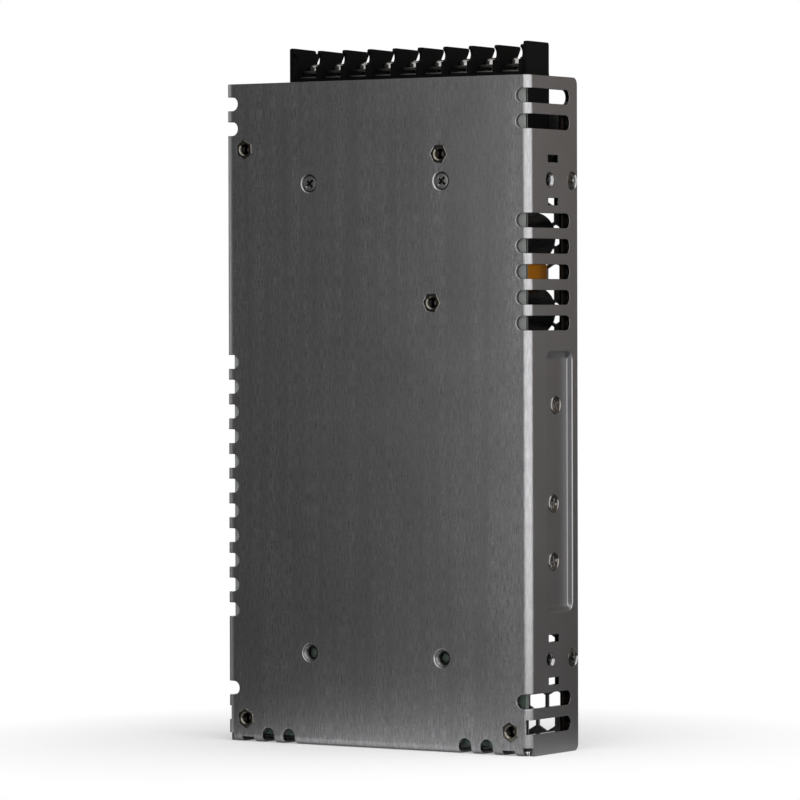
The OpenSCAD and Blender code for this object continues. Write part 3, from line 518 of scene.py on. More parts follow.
def copies(name, mesh, places, slot, spin=0.0, seed=1):
    """One piece of copies of a mesh in one finish, at (place in millimetres, turn in degrees) pairs."""
    pattern = add_object(name + "_pattern", mesh)
    points = bpy.data.meshes.new(name)
    points.from_pydata([Vector(place) * MM for place, turn in places], [], [])
    turns = points.attributes.new("turn", "FLOAT_VECTOR", "POINT")
    turns.data.foreach_set("vector", [math.radians(a) for place, turn in places for a in turn])
    piece = add_object(name, points)
    run_tree(piece, copies_tree(), Piece=pattern, Spin=math.radians(spin), Seed=seed, Finish=finish(slot))
    bpy.data.objects.remove(pattern)
    return piece


@node_group("Perforated sheet", "Geometry", Geometry="Geometry", Rows="Int", Columns="Int", Pitch="Float",
            Row_Pitch="Float", First_Row="Float", Across_Flats="Float", Punch_Length="Float", Face="Float",
            Finish="Material")
def perforation_tree(tree, start):
    """Punches staggered rows of hexagons through a sheet."""
    long_row = tree.plus(start["Columns"], 1.0)
    points = tree.out("GeometryNodePoints", {"Count": tree.times(start["Rows"], long_row)})
    index = tree.out("GeometryNodeInputIndex")
    row = tree.math("FLOOR", tree.math("DIVIDE", tree.plus(index, 0.5), long_row))
    column = tree.minus(index, tree.times(row, long_row))
    odd = tree.math("MODULO", row, 2.0)
    stagger = tree.times(tree.minus(1.0, odd), 0.5)
    across = tree.plus(tree.minus(column, tree.times(start["Columns"], 0.5)), stagger)
    along = tree.math("MULTIPLY_ADD", row, start["Row Pitch"], start["First Row"])
    place = tree.joined(tree.times(across, start["Pitch"]), start["Face"], along)
    whole = tree.plus(odd, tree.math("LESS_THAN", column, tree.minus(start["Columns"], 0.5)))
    radius = tree.math("DIVIDE", start["Across Flats"], math.sqrt(3.0))
    punch = {"Vertices": 6, "Radius": radius, "Depth": start["Punch Length"]}
    punches = tree.out("GeometryNodeInstanceOnPoints", {
        "Points": tree.out("GeometryNodeSetPosition", {"Geometry": points, "Position": place}),
        "Selection": tree.math("GREATER_THAN", whole, 0.5),
        "Instance": tree.out("GeometryNodeMeshCylinder", punch),
        "Rotation": (math.pi / 2, math.pi / 6, 0.0),
    })
    tools = tree.out("GeometryNodeRealizeInstances", {"Geometry": punches})
    punched = tree.out("GeometryNodeMeshBoolean", {0: start["Geometry"], 1: tools},
                       operation="DIFFERENCE", solver="EXACT")
    return tree.realised(punched, start["Finish"])


# Folded sheets


class Fold:
    """Maps the flat pattern of a folded tray, in millimetres, to its place on the case.

    u runs across the plate and on round the side bends, v along it and on round the end bend,
    and w into the sheet from its outer face.
    """

    def __init__(self, half, foot, radius, thick, face, inward):
        self.half, self.foot, self.radius, self.thick = half, foot, radius, thick
        self.face, self.inward = face, inward
        self.flat = half - radius
        self.low = foot + radius
        self.arc = radius * math.pi / 2
        # Lines that keep the bends round and the faces beside them flat
        steps, beside = 10, 0.25
        runs = [-beside] + [self.arc * i / steps for i in range(steps + 1)] + [self.arc + beside]
        self.us = [side * (self.flat + run) for run in runs for side in (-1, 1)]
        self.vs = [self.low - run for run in runs]

    def side_u(self, depth):
        return self.flat + self.arc + depth - self.radius

    def end_v(self, depth):
        return self.low - self.arc - (depth - self.radius)

    def turned(self, run, w):
        """How far a point lies past the start of a bend, and how deep, after a run round it."""
        if run < self.arc:
            a = run / self.radius
            return (self.radius - w) * math.sin(a), self.radius - (self.radius - w) * math.cos(a)
        return self.radius - w, self.radius + run - self.arc

    def place(self, u, v, w):
        if v < self.foot - 0.5 or (abs(u) <= self.flat and v < self.low):
            past, depth = self.turned(self.low - v, w)
            x, z = u, self.low - past
        elif abs(u) > self.flat:
            past, depth = self.turned(abs(u) - self.flat, w)
            x, z = math.copysign(self.flat + past, u), v
        else:
            x, depth, z = u, w, v
        return Vector((x, self.face + self.inward * depth, z)) * MM

    def outline(self, right):
        """A closed outline from its right half, given from the foot up."""
        return stopped(right + [(-u, v) for u, v in reversed(right)], self.us, self.vs)


def stopped(outline, us, vs):
    """An outline with points added where its straight edges cross the lines of the bends."""
    result = []
    for (u0, v0), (u1, v1) in zip(outline, outline[1:] + outline[:1]):
        result.append((u0, v0))
        if abs(v1 - v0) < 1e-7:
            stops = sorted((u for u in us if min(u0, u1) < u < max(u0, u1)), reverse=u1 < u0)
            result += [(u, v0) for u in stops]
        elif abs(u1 - u0) < 1e-7:
            stops = sorted((v for v in vs if min(v0, v1) < v < max(v0, v1)), reverse=v1 < v0)
            result += [(u0, v) for v in stops]
    return result


class FlatPattern:
    """The flat pattern of a sheet: its outline, its cuts and the lines that its mesh keeps to.

    An outline is a function of how far it opens, so that the corners of a cut can be rounded.
    """

    def __init__(self, fold, edge):
        self.fold = fold
        self.edge = edge
        self.points = []
        self.lines = []
        self.faces = []
        self.rims = []
        self.press = lambda u, v: 0.0

    def loop(self, outline):
        first = len(self.points)
        self.points += outline
        ids = list(range(first, len(self.points)))
        self.lines += list(zip(ids, ids[1:] + ids[:1]))
        return ids

    def line(self, start, end):
        self.points += [start, end]
        self.lines.append((len(self.points) - 2, len(self.points) - 1))

    def bend_lines(self, top, relief):
        fold, gap = self.fold, relief + self.edge
        for u in fold.us:
            self.line((u, fold.foot + gap), (u, top - self.edge))
        for v in fold.vs:
            self.line((gap - fold.half, v), (fold.half - gap, v))

    def rim(self, rows, cut):
        """A closed edge given by its outlines and their depths in the sheet, from face to face."""
        outline = rows[0][0]
        area = sum(u0 * v1 - u1 * v0 for (u0, v0), (u1, v1) in zip(outline, outline[1:] + outline[:1]))
        if area < 0:
            rows = [(shape[::-1], w) for shape, w in rows]
        ids = self.loop(rows[0][0])
        self.faces.append(ids)
        self.rims.append((ids, rows, cut))

    def cut(self, outline, margin=0.3, shade=1.0):
        """A punched edge with both its corners rounded."""
        e, t = self.edge, self.fold.thick
        half = e * (1 - math.sqrt(0.5))
        rows = ((e, 0.0), (half, half), (0.0, e), (0.0, t - e), (half, t - half), (e, t))
        self.rim([(outline(grow), w) for grow, w in rows], shade)
        if margin:
            self.loop(outline(e + margin))

    def slot(self, start, end, middle, radius, along_v=False, square=False):
        """A slot between two ends, which is square or round at its start."""
        sign = 1 if end > start else -1
        low, high = min(start, end), max(start, end)
        us, vs = ([c for c in lines if low < c < high] for lines in (self.fold.us, self.fold.vs))

        def outline(grow):
            r = radius + grow
            first = [(-grow, r), (-grow, -r)] if square else [(-x, y) for x, y in arc(0, 0, r, 90, -90, 16)]
            shape = [(start + sign * x, y) for x, y in first]
            shape += [(end + sign * x, y) for x, y in arc(0, 0, r, -90, 90, 16)]
            return stopped([(middle + y, x) if along_v else (x, middle + y) for x, y in shape], us, vs)

        self.cut(outline, 0.0 if square else 0.3)

    def polygon(self, u, v, apothem, sides, turn, margin=0.3):
        self.cut(lambda grow: circle(u, v, (apothem + grow) / math.cos(math.pi / sides), sides, turn), margin)

    def window(self, u, v, width, height):
        # The shade value 2.0 marks the window's edges for painted shade in the sheet's finish
        self.cut(lambda grow: rectangle(width + 2 * grow, height + 2 * grow, u, v), 0.2, 2.0)

    def turned_hole(self, u, v, rows, margin=0.3):
        """A round hole from (radius, depth in the sheet) pairs."""
        steps = 40
        self.rim([(circle(u, v, radius, steps), w) for radius, w in rows], 0.3)
        if margin:
            self.loop(circle(u, v, rows[0][0] + margin, steps))

    def mesh(self, name):
        """The folded mesh, with the flat pattern as its UV map and its edges marked by "cut"."""
        flat = [Vector(p) for p in self.points]
        spots, _, tris, origins, _, within = delaunay_2d_cdt(flat, self.lines, self.faces, 1, 1e-4, True)
        tris = [t for t, holders in zip(tris, within) if holders == [0]]
        where = {old: new for new, olds in enumerate(origins) for old in olds}
        used = sorted({i for t in tris for i in t})
        rank = {spot: i for i, spot in enumerate(used)}
        count = len(used)
        points, flats, cuts = [], [], []

        def row(outline, w, cut):
            first = len(points)
            for u, v in outline:
                points.append(self.fold.place(u, v, w + self.press(u, v)))
                flats.append((u, v))
                cuts.append(cut)
            return list(range(first, len(points)))

        for w in (0.0, self.fold.thick):
            row([spots[i] for i in used], w, 0.0)
        faces = [[rank[i] for i in t] for t in tris]
        faces += [[rank[i] + count for i in reversed(t)] for t in tris]
        for ids, rows, cut in self.rims:
            layers = [[rank[where[i]] for i in ids]]
            layers += [row(outline, w, cut) for outline, w in rows[1:-1]]
            layers.append([i + count for i in layers[0]])
            for near, far in zip(layers, layers[1:]):
                faces += [[near[i - 1], near[i], far[i], far[i - 1]] for i in range(len(ids))]
        mesh = bpy.data.meshes.new(name)
        mesh.from_pydata(points, [], faces)
        mesh.validate()
        mesh.attributes.new("cut", "FLOAT", "POINT").data.foreach_set("value", cuts)
        corners = [0] * len(mesh.loops)
        mesh.loops.foreach_get("vertex_index", corners)
        chart = mesh.uv_layers.new(name="flat")
        chart.data.foreach_set("uv", [c * MM for i in corners for c in flats[i]])
        form = bmesh.new()
        form.from_mesh(mesh)
        bmesh.ops.recalc_face_normals(form, faces=form.faces)
        form.to_mesh(mesh)
        form.free()
        mesh.shade_smooth()
        return mesh


def press_recess(pattern, size):
    """The pressed recess: steep along its sides, sloping at its ends, with round corners."""
    fold, corner, r = pattern.fold, size.recess_round, size.side_round
    u0, u1, v0, v1 = fold.side_u(RECESS[0]), fold.side_u(RECESS[1]), RECESS[2], RECESS[3]
    mid_u, mid_v = (u0 + u1) / 2, (v0 + v1) / 2
    half_u, half_v = (u1 - u0) / 2, (v1 - v0) / 2
    turns = [math.radians(a) for a in (0, 20, 40, 60, 80)]
    side = [(r * math.sin(a), r * (1 - math.cos(a))) for a in turns]
    side += [(1.25 * r + r * (1 - math.cos(a)), size.press - r + r * math.sin(a)) for a in turns]
    side.append((2.25 * r, size.press))

    def side_depth(inset):
        for (near, low), (far, high) in zip(side, side[1:]):
            if inset <= far:
                return low + (high - low) * max(inset - near, 0.0) / (far - near)
        return size.press

    def end_depth(inset):
        share_in, ease = min(max(inset / size.end_run, 0.0), 1.0), 0.3
        if share_in > 0.5:
            return size.press - end_depth(size.end_run - inset) if share_in < 1 else size.press
        eased_in = share_in ** 2 / (2 * ease) if share_in < ease else share_in - ease / 2
        return size.press * eased_in / (1 - ease)

    def press(u, v):
        in_u, in_v = half_u - abs(u - mid_u), half_v - abs(v - mid_v)
        if in_u < corner and in_v < corner:
            turn = math.atan2(corner - in_v, corner - in_u)
            inset = corner - math.hypot(corner - in_u, corner - in_v)
            return side_depth(inset) * math.cos(turn) ** 2 + end_depth(inset) * math.sin(turn) ** 2
        return side_depth(in_u) if in_u < corner else end_depth(in_v)

    insets = [-0.25, *(inset for inset, _ in side), 0.7]
    insets += [size.end_run * i / 10 for i in range(1, 12) if size.end_run * i / 10 > 0.75]
    for inset in insets:
        ring = rounded_box(2 * (half_u - inset), 2 * (half_v - inset), corner - inset, 12)
        pattern.loop([(mid_u + x, mid_v + y) for x, y in ring])
    pattern.press = press


def drawn_hole(size, mouth, lip, thread_start):
    """Rows of a tapped hole: a round lip, a cone down to the thread and the collar drawn up behind."""
    bore, collar = size.bore / 2, size.collar / 2
    root, pitch = bore + 0.35, 0.7
    end = size.sheet + size.collar_rise
    rows = [(mouth + 0.15, 0.0)]
    rows += [(mouth - x, lip - y) for y, x in arc(0, 0, lip, 0, 90, 6)]
    w = thread_start
    while w < end - pitch:
        rows += [(root, w), (bore, w + 0.28), (bore, w + 0.36), (root, w + 0.64)]
        w += pitch
    return rows + [(bore + 0.05, end - 0.12), (bore + 0.25, end), (collar - 0.2, end), (collar, end - 0.2),
                   (collar, size.sheet + 0.25), (collar + 0.25, size.sheet)]


def chassis_mesh(size):
    fold = Fold(HALF, 0.0, size.bend, size.sheet, FACE_Y, 1)
    pattern = FlatPattern(fold, size.edge)
    relief = size.bend + size.fold_gap
    wing = HALF - size.sheet - size.fold_gap
    far_u, far_v = fold.side_u(WALL_D), fold.end_v(WALL_D)

    def outline(g):
        r = size.corner - g
        return fold.outline([
            (wing - g, far_v + g),
            (wing - g, fold.end_v(relief) - g),
            (HALF - relief - g, fold.end_v(relief) - g),
            (HALF - relief - g, relief + g),
            (fold.side_u(relief) + g, relief + g),
            (fold.side_u(relief) + g, g),
            *arc(far_u - size.corner, size.corner, r, -90, 0, 8),
            *arc(far_u - size.corner, TOP - size.corner, r, 0, 90, 8),
        ])

    pattern.cut(outline, margin=0.05)
    pattern.bend_lines(TOP, relief)
    radius = size.slot / 2
    near = HALF - size.slot_reach + radius
    far = fold.side_u(size.slot_far - radius)
    end_far = fold.end_v(size.slot_far - radius)
    for side, heights in ((1, RIGHT_SLOTS), (-1, LEFT_SLOTS)):
        for z in (*SHARED_SLOTS, *heights):
            pattern.slot(side * near, side * far, z, radius)
        pattern.slot(side * (fold.flat + size.bend_stop), side * far, BEND_SLOT, radius, square=True)
    for side in (-1, 1):
        for x in END_SLOTS:
            pattern.slot(size.slot_reach - radius, end_far, side * x, radius, along_v=True)
        pattern.slot(fold.low - size.bend_stop, end_far, side * END_WALL_SLOT, radius, along_v=True, square=True)

    for (x, z), turn in zip(STANDOFFS, STANDOFF_TURNS):
        pattern.polygon(x, z, STANDOFF_FLATS / 2 + 0.08, 6, turn)
    base_hole = drawn_hole(size, size.mouth / 2, lip=0.45, thread_start=1.3)
    wall_hole = drawn_hole(size, size.side_mouth / 2, lip=0.28, thread_start=0.35)
    seat = [*COVER_SCREW_SEAT, (1.8, size.sheet - 0.1), (1.9, size.sheet)]
    for z in HOLE_HEIGHTS:
        pattern.turned_hole(fold.side_u(RIGHT_HOLE_D), z, wall_hole)
        for side in (-1, 1):
            pattern.turned_hole(side * HOLE_X, z, base_hole)
            pattern.turned_hole(side * fold.side_u(COVER_SCREW_D), z, seat, margin=0.0)
            pattern.window(fold.side_u(WINDOW_D), z + side * WINDOW_STEP, WINDOW_WIDTH, WINDOW_HEIGHT)
    press_recess(pattern, size)
    return pattern.mesh("Chassis sheet")


def cover_mesh(size):
    low, high = box("cover")
    fold = Fold(high.x, low.z, size.bend, size.sheet, high.y, -1)
    pattern = FlatPattern(fold, 0.1)
    relief = size.bend + 0.6
    far_u, far_v = fold.side_u(high.y - low.y), fold.end_v(high.y - low.y)
    notch_u = fold.side_u(3.25)

    def outline(g):
        return fold.outline([
            (high.x - relief - g, far_v + g),
            (high.x - relief - g, low.z + relief + g),
            (far_u - g, low.z + relief + g),
            (far_u - g, COVER_NOTCH[0] - g),
            (notch_u - g, COVER_NOTCH[0] - g),
            (notch_u - g, COVER_NOTCH[1] + g),
            (far_u - g, COVER_NOTCH[1] + g),
            (far_u - g, high.z - g),
        ])

    pattern.cut(outline, margin=0.0)
    pattern.bend_lines(high.z, relief)
    for side in (-1, 1):
        for z in HOLE_HEIGHTS:
            u = side * fold.side_u(WALL_D + size.sheet - COVER_SCREW_D)
            pattern.polygon(u, z, apothem=1.45, sides=24, turn=0, margin=0.0)
    return pattern.mesh("Cover sheet")


# Finishes


@node_group("Brushed grain", "Shader", Vector="Vector", Across="Float", Along="Float")
def brushed_grain(s, start):
    """Long fine strokes along Y with broader bands between them."""
    fine = s.stretched(start["Vector"], s.joined(start["Across"], start["Along"], start["Along"]))
    strokes = s.noise(fine, 1.0, 4.0, 0.62)
    ticks = s.noise(s.stretched(fine, (1.7, 4.5, 1.0)), 1.0, 2.0, 0.5)
    bands = s.noise(s.stretched(fine, (0.12, 0.035, 1.0)), 1.0, 2.0, 0.5)
    both = s.plus(s.times(strokes, 0.65), s.times(ticks, 0.35))
    return {"Tone": s.blend(both, 0.32, 0.68), "Height": both, "Band": s.blend(bands, 0.3, 0.7)}


@node_group("Handling marks", "Shader", Vector="Vector", Scale="Float", Turn="Float")
def handling_marks(s, start):
    """A few fine scratches and faint smudges."""
    turned = s.out("ShaderNodeVectorRotate", {"Vector": start["Vector"], "Angle": start["Turn"]},
                   rotation_type="Z_AXIS")
    scaled = s.out("ShaderNodeVectorMath", {0: turned, "Scale": start["Scale"]}, operation="SCALE")
    line = s.noise(s.stretched(scaled, (1.2, 34.0, 1.0)), 1.0, 1.0, 0.4)
    few = s.noise(scaled, 1.3, 2.0, 0.5)
    return {"Scratch": s.times(s.blend(line, 0.735, 0.775), s.blend(few, 0.6, 0.68)),
            "Smudge": s.blend(s.noise(scaled, 0.9, 3.0, 0.6), 0.35, 0.75)}


@node_group("Moulded grain", "Shader", Vector="Vector", Scale="Float")
def moulded_grain(s, start):
    """Fine pebbled grain with soft flow bands."""
    cells = s.add("ShaderNodeTexVoronoi", {"Vector": start["Vector"], "Scale": start["Scale"]},
                  feature="SMOOTH_F1").outputs["Distance"]
    fine = s.noise(start["Vector"], start["Scale"], 2.0)
    flow = s.noise(start["Vector"], s.times(start["Scale"], 0.04))
    return {"Height": s.plus(s.times(cells, 0.6), s.times(fine, 0.4)), "Tone": s.blend(flow, 0.3, 0.7)}


class Finish(Tree):
    """A material in the making; a number stands for a shade of its base colour."""

    def __init__(self, name, base):
        self.material = bpy.data.materials.new(name)
        self.material.use_nodes = True
        super().__init__(self.material.node_tree)
        self.shader = self.tree.nodes["Principled BSDF"]
        self.place = self.add("ShaderNodeTexCoord").outputs["Object"]
        self.base = self.tone = tuple(base)
        self.rough = 0.5

    def shade(self, value):
        return tuple(min(c * value, 1.0) for c in self.base) if isinstance(value, float) else value

    def start(self, factor, dark, light):
        self.tone = self.mix(factor, self.shade(dark), self.shade(light))

    def tint(self, factor, value, most=1.0):
        if most < 1.0:
            factor = self.times(factor, most)
        self.tone = self.mix(factor, self.tone, self.shade(value))

    def clouded(self, vector, scale, dark, light, rough_low, rough_high):
        """Starts the colour and the roughness from one soft noise."""
        cloud = self.noise(vector, scale)
        self.start(self.blend(cloud, 0.3, 0.7), dark, light)
        self.rough = self.blend(cloud, 0.3, 0.7, rough_low, rough_high)
        return cloud

    def marks(self, scale, turn):
        return self.group(handling_marks, Vector=self.place, Scale=scale, Turn=turn)

    def millimetres(self, vector):
        return self.parts(self.stretched(vector, (1 / MM,) * 3))

    def done(self, height=None, depth=0.0, strength=1.0, **constants):
        """Feeds the shader; a bump has a height between 0 and 1 and its depth in millimetres."""
        sockets = {"Base_Color": self.tone, "Roughness": self.rough, **constants}
        if height is not None:
            bump = {"Height": height, "Distance": depth * MM, "Strength": strength}
            sockets["Normal"] = self.out("ShaderNodeBump", bump)
        for key, value in sockets.items():
            self.put(self.shader.inputs[key.replace("_", " ")], value)
        return self.material


def brush(s, place, rough):
    """Starts a brushed sheet: its strokes, the bands between them, its roughness and its scratches."""
    grain = s.group(brushed_grain, Vector=place, Across=2500.0, Along=260.0)
    marks = s.group(handling_marks, Vector=place, Scale=42.0, Turn=0.25)
    s.start(grain["Tone"], 0.32, 1.95)
    s.tint(grain["Band"], 0.84, 0.7)
    spread = s.blend(grain["Tone"], 0.0, 1.0, rough + 0.05, rough - 0.04)
    s.rough = s.plus(spread, s.times(marks["Smudge"], 0.03))
    return grain["Height"], marks["Scratch"]


def chassis_finish(name, base, rough):
    """Brushed sheet, evener on its bends and walls and darker on its punched edges, with painted shade and painted
    highlights in places.
    """
    s = Finish(name, base)
    place = s.out("ShaderNodeUVMap", uv_map="flat")
    cut = s.add("ShaderNodeAttribute", attribute_name="cut").outputs["Fac"]
    height, scratch = brush(s, place, rough)
    across, along, _ = s.millimetres(place)
    run = s.math("ABSOLUTE", across)
    wall = s.blend(run, 57.0, 60.0)
    even = s.plus(s.blend(run, 55.2, 56.2, 0.0, 0.5), s.blend(run, 58.3, 59.2, 0.0, 0.4))
    s.tint(even, 0.96)
    # Painted highlight: a bright line along the left bend
    painted_left_bend_highlight = s.between(across, -56.2, -55.9, -55.3, -54.6)
    s.tint(painted_left_bend_highlight, 2.5, 0.8)
    # Painted shade on the recess's steep far side and on its sloping lower end
    painted_shade_recess_side = s.times(s.between(run, 81.92, 81.97, 82.15, 82.2), s.between(along, 43.0, 45.0, 125.0, 127.0))
    painted_shade_recess_foot = s.times(s.between(along, 44.1, 44.7, 45.5, 46.1), s.between(across, 66.5, 67.5, 81.2, 81.9))
    s.tint(s.plus(painted_shade_recess_side, painted_shade_recess_foot), 0.55)
    s.tint(scratch, 0.45, 0.55)

    edge = s.blend(cut, 0.5, 1.0)
    # Punched edges are a little darker; the much darker tone at the slots' round ends beside the bends is painted
    # shade
    punched = s.mix(s.blend(run, 51.5, 52.5), s.shade(0.95), s.shade(0.4))
    s.tint(cut, s.mix(wall, punched, s.shade(0.62)), 0.85)
    # Painted shade on the slots' far ends in the walls and on the windows' edges
    painted_shade_slot_end = s.times(edge, s.blend(run, 77.0, 78.5))
    s.tint(s.math("MAXIMUM", painted_shade_slot_end, s.blend(cut, 1.2, 1.8)), 0.18)
    # Painted highlight on the cut edges at the lower corner reliefs
    painted_corner_highlight = s.times(s.blend(along, -1.4, -1.5), s.between(run, 54.5, 54.8, 56.0, 56.2))
    s.tint(s.times(painted_corner_highlight, edge), 2.6)
    x, y, _ = s.millimetres(s.place)
    bored = s.between(cut, 0.1, 0.25, 0.35, 0.5)
    # Painted shade deep inside the tapped holes of the base plate
    painted_shade_deep_bore = s.times(s.blend(y, FACE_Y + 0.8, FACE_Y + 1.2),
                   s.blend(s.math("ABSOLUTE", x), HALF - 1.1, HALF - 0.7, 1.0, 0.0))
    s.tint(s.times(bored, painted_shade_deep_bore), 0.15)
    polished = s.math("MAXIMUM", edge, s.times(wall, s.blend(cut, 0.05, 0.25)))
    s.rough = s.blend(polished, 0.0, 1.0, s.rough, 0.16)
    return s.done(height, 0.012, s.blend(even, 0.5, 0.9, 0.8, 0.1), Metallic=1.0)


def cover_finish(name, base, rough):
    """Brushed sheet with painted shade on the part of it in front of 13.7 mm, where it lies inside the chassis."""
    s = Finish(name, base)
    x, y, z = s.parts(s.place)
    height, scratch = brush(s, s.joined(s.plus(x, y), z, y), rough)
    s.tint(scratch, 0.45, 0.55)
    # Painted shade where the cover lies inside the chassis
    s.tint(s.blend(y, 0.0137, 0.0141, 1.0, 0.0), (0.020, 0.016, 0.013))
    return s.done(height, 0.012, 0.8, Metallic=1.0)


def metal_finish(name, base, rough, dull=None, dark=0.7):
    """Plated or turned metal with a faint bloom and rub marks, and painted shade past (axis, low, high) in
    millimetres.
    """
    s = Finish(name, base)
    s.clouded(s.place, 900.0, dark, 1.0, rough + 0.08, rough - 0.04)
    s.tint(s.marks(450.0, 0.8)["Scratch"], 1.25, 0.4)
    if dull:
        axis, low, high = dull
        # Painted shade deeper in: down screw threads, inside standoff countersinks and on the sides of the contacts
        s.tint(s.blend(s.math("ABSOLUTE", s.millimetres(s.place)[axis]), low, high), 0.1)
    return s.done(s.noise(s.place, 2700.0, 2.0), 0.01, 0.5, Metallic=1.0)


def plastic_finish(name, base, rough, scale, depth, coat=0.0, gloss=0.5, clear=0.0):
    """Moulded or dipped plastic with grain, flow bands and faint handling marks."""
    s = Finish(name, base)
    grain = s.group(moulded_grain, Vector=s.place, Scale=scale)
    marks = s.marks(120.0, 0.5)
    s.start(grain["Tone"], 0.86, 1.14)
    s.tint(marks["Scratch"], 1.9, 0.25)
    s.rough = s.blend(marks["Smudge"], 0.0, 1.0, rough, rough + 0.1)
    return s.done(grain["Height"], depth, 0.6, Specular_IOR_Level=gloss, Coat_Weight=coat, Coat_Roughness=0.12,
                  Transmission_Weight=clear)


def board_finish(name, base):
    """Solder resist over copper: pours, the gaps between them, a fine weave, and painted shade and painted light on
    its edges.
    """
    s = Finish(name, base)
    x, y, z = s.parts(s.place)
    place = s.joined(x, z, s.times(y, 0.4))
    pours = s.add("ShaderNodeTexVoronoi", {"Vector": place, "Scale": 135.0}, feature="DISTANCE_TO_EDGE")
    gap = s.blend(pours.outputs["Distance"], 0.03, 0.05, 1.0, 0.0)
    lines = s.add("ShaderNodeTexBrick", {"Vector": place, "Scale": 260.0, "Mortar Size": 0.035}, offset=0.37)
    weave = s.noise(s.stretched(place, (1.0, 3.0, 1.0)), 1400.0, 2.0)
    s.tint(lines.outputs["Fac"], 1.45)
    s.tint(gap, 0.55)
    s.tint(s.blend(weave, 0.35, 0.75, 0.0, 0.35), 1.5)
    x, y, z = s.millimetres(s.place)
    face = FACE_Y + BOARD_TOP
    # Painted shade on the board's edge, with a light line along its top
    shaded_edge_with_top_line = s.mix(s.blend(y, face - 0.4, face - 0.3), s.shade(0.12), (0.17, 0.175, 0.17))
    # Painted light on the edge between 12 and 28 mm up
    rim = s.mix(s.between(z, 12.0, 13.0, 22.0, 28.0), shaded_edge_with_top_line, (0.15, 0.175, 0.16))
    s.tint(s.blend(s.math("ABSOLUTE", x), 53.08, 53.16), rim)
    s.rough = s.blend(weave, 0.3, 0.7, 0.34, 0.46)
    return s.done(s.minus(1.0, gap), 0.03, 0.6, Coat_Weight=0.2)


def sleeve_finish(name, base):
    """Shrunk sleeve with fine wrinkles."""
    s = Finish(name, base)
    wrinkles = s.clouded(s.stretched(s.place, (1.0, 0.25, 1.0)), 900.0, 0.8, 1.3, 0.24, 0.36)
    s.tint(s.marks(140.0, 0.2)["Scratch"], (0.25, 0.25, 0.25), 0.3)
    return s.done(wrinkles, 0.05, 0.5, Specular_IOR_Level=0.25)


def tape_finish(name, base):
    """Layers of film tape: the lap lines show as fine steps."""
    s = Finish(name, base)
    waves = s.add("ShaderNodeTexWave", {"Vector": s.place, "Scale": 95.0, "Distortion": 1.2, "Detail": 2.0},
                  bands_direction="Z").outputs["Fac"]
    s.clouded(s.place, 240.0, 0.82, 1.0, 0.3, 0.42)
    s.tint(s.blend(waves, 0.86, 0.98), 0.55, 0.5)
    return s.done(waves, 0.05, 0.6)


def wire_finish(name, base):
    """Copper under tinted enamel."""
    s = Finish(name, base)
    s.clouded(s.place, 500.0, 0.7, 1.25, 0.22, 0.34)
    return s.done(s.noise(s.place, 2500.0, 2.0), 0.01, 0.4, Metallic=0.85, Coat_Weight=0.4)


def lens_finish(name, base):
    """Tinted clear moulding, a little cloudy."""
    s = Finish(name, base)
    s.clouded(s.place, 700.0, 0.8, 1.2, 0.12, 0.2)
    return s.done(Transmission_Weight=0.35, Coat_Weight=0.5)


def banded_finish(name, base, bands):
    """Lacquered resistor body with colour rings, as (start above the node's foot, width, colour)."""
    s = Finish(name, base)
    cloud = s.clouded(s.place, 600.0, 0.85, 1.1, 0.3, 0.42)
    z = s.millimetres(s.place)[2]
    foot = box("power_resistors")[0].z
    for start, width, band in bands:
        above = s.math("GREATER_THAN", z, foot + start)
        s.tint(s.times(above, s.math("LESS_THAN", z, foot + start + width)), band)
    return s.done(cloud, 0.03, 0.5)


CONTACT_TOP = box("terminal_contacts")[1].z
RINGS = ((2.6, 1.1, (0.05, 0.015, 0.01)), (5.0, 0.9, (0.02, 0.02, 0.02)),
         (6.8, 0.9, (0.5, 0.02, 0.015)), (9.3, 0.8, (0.45, 0.3, 0.08)))

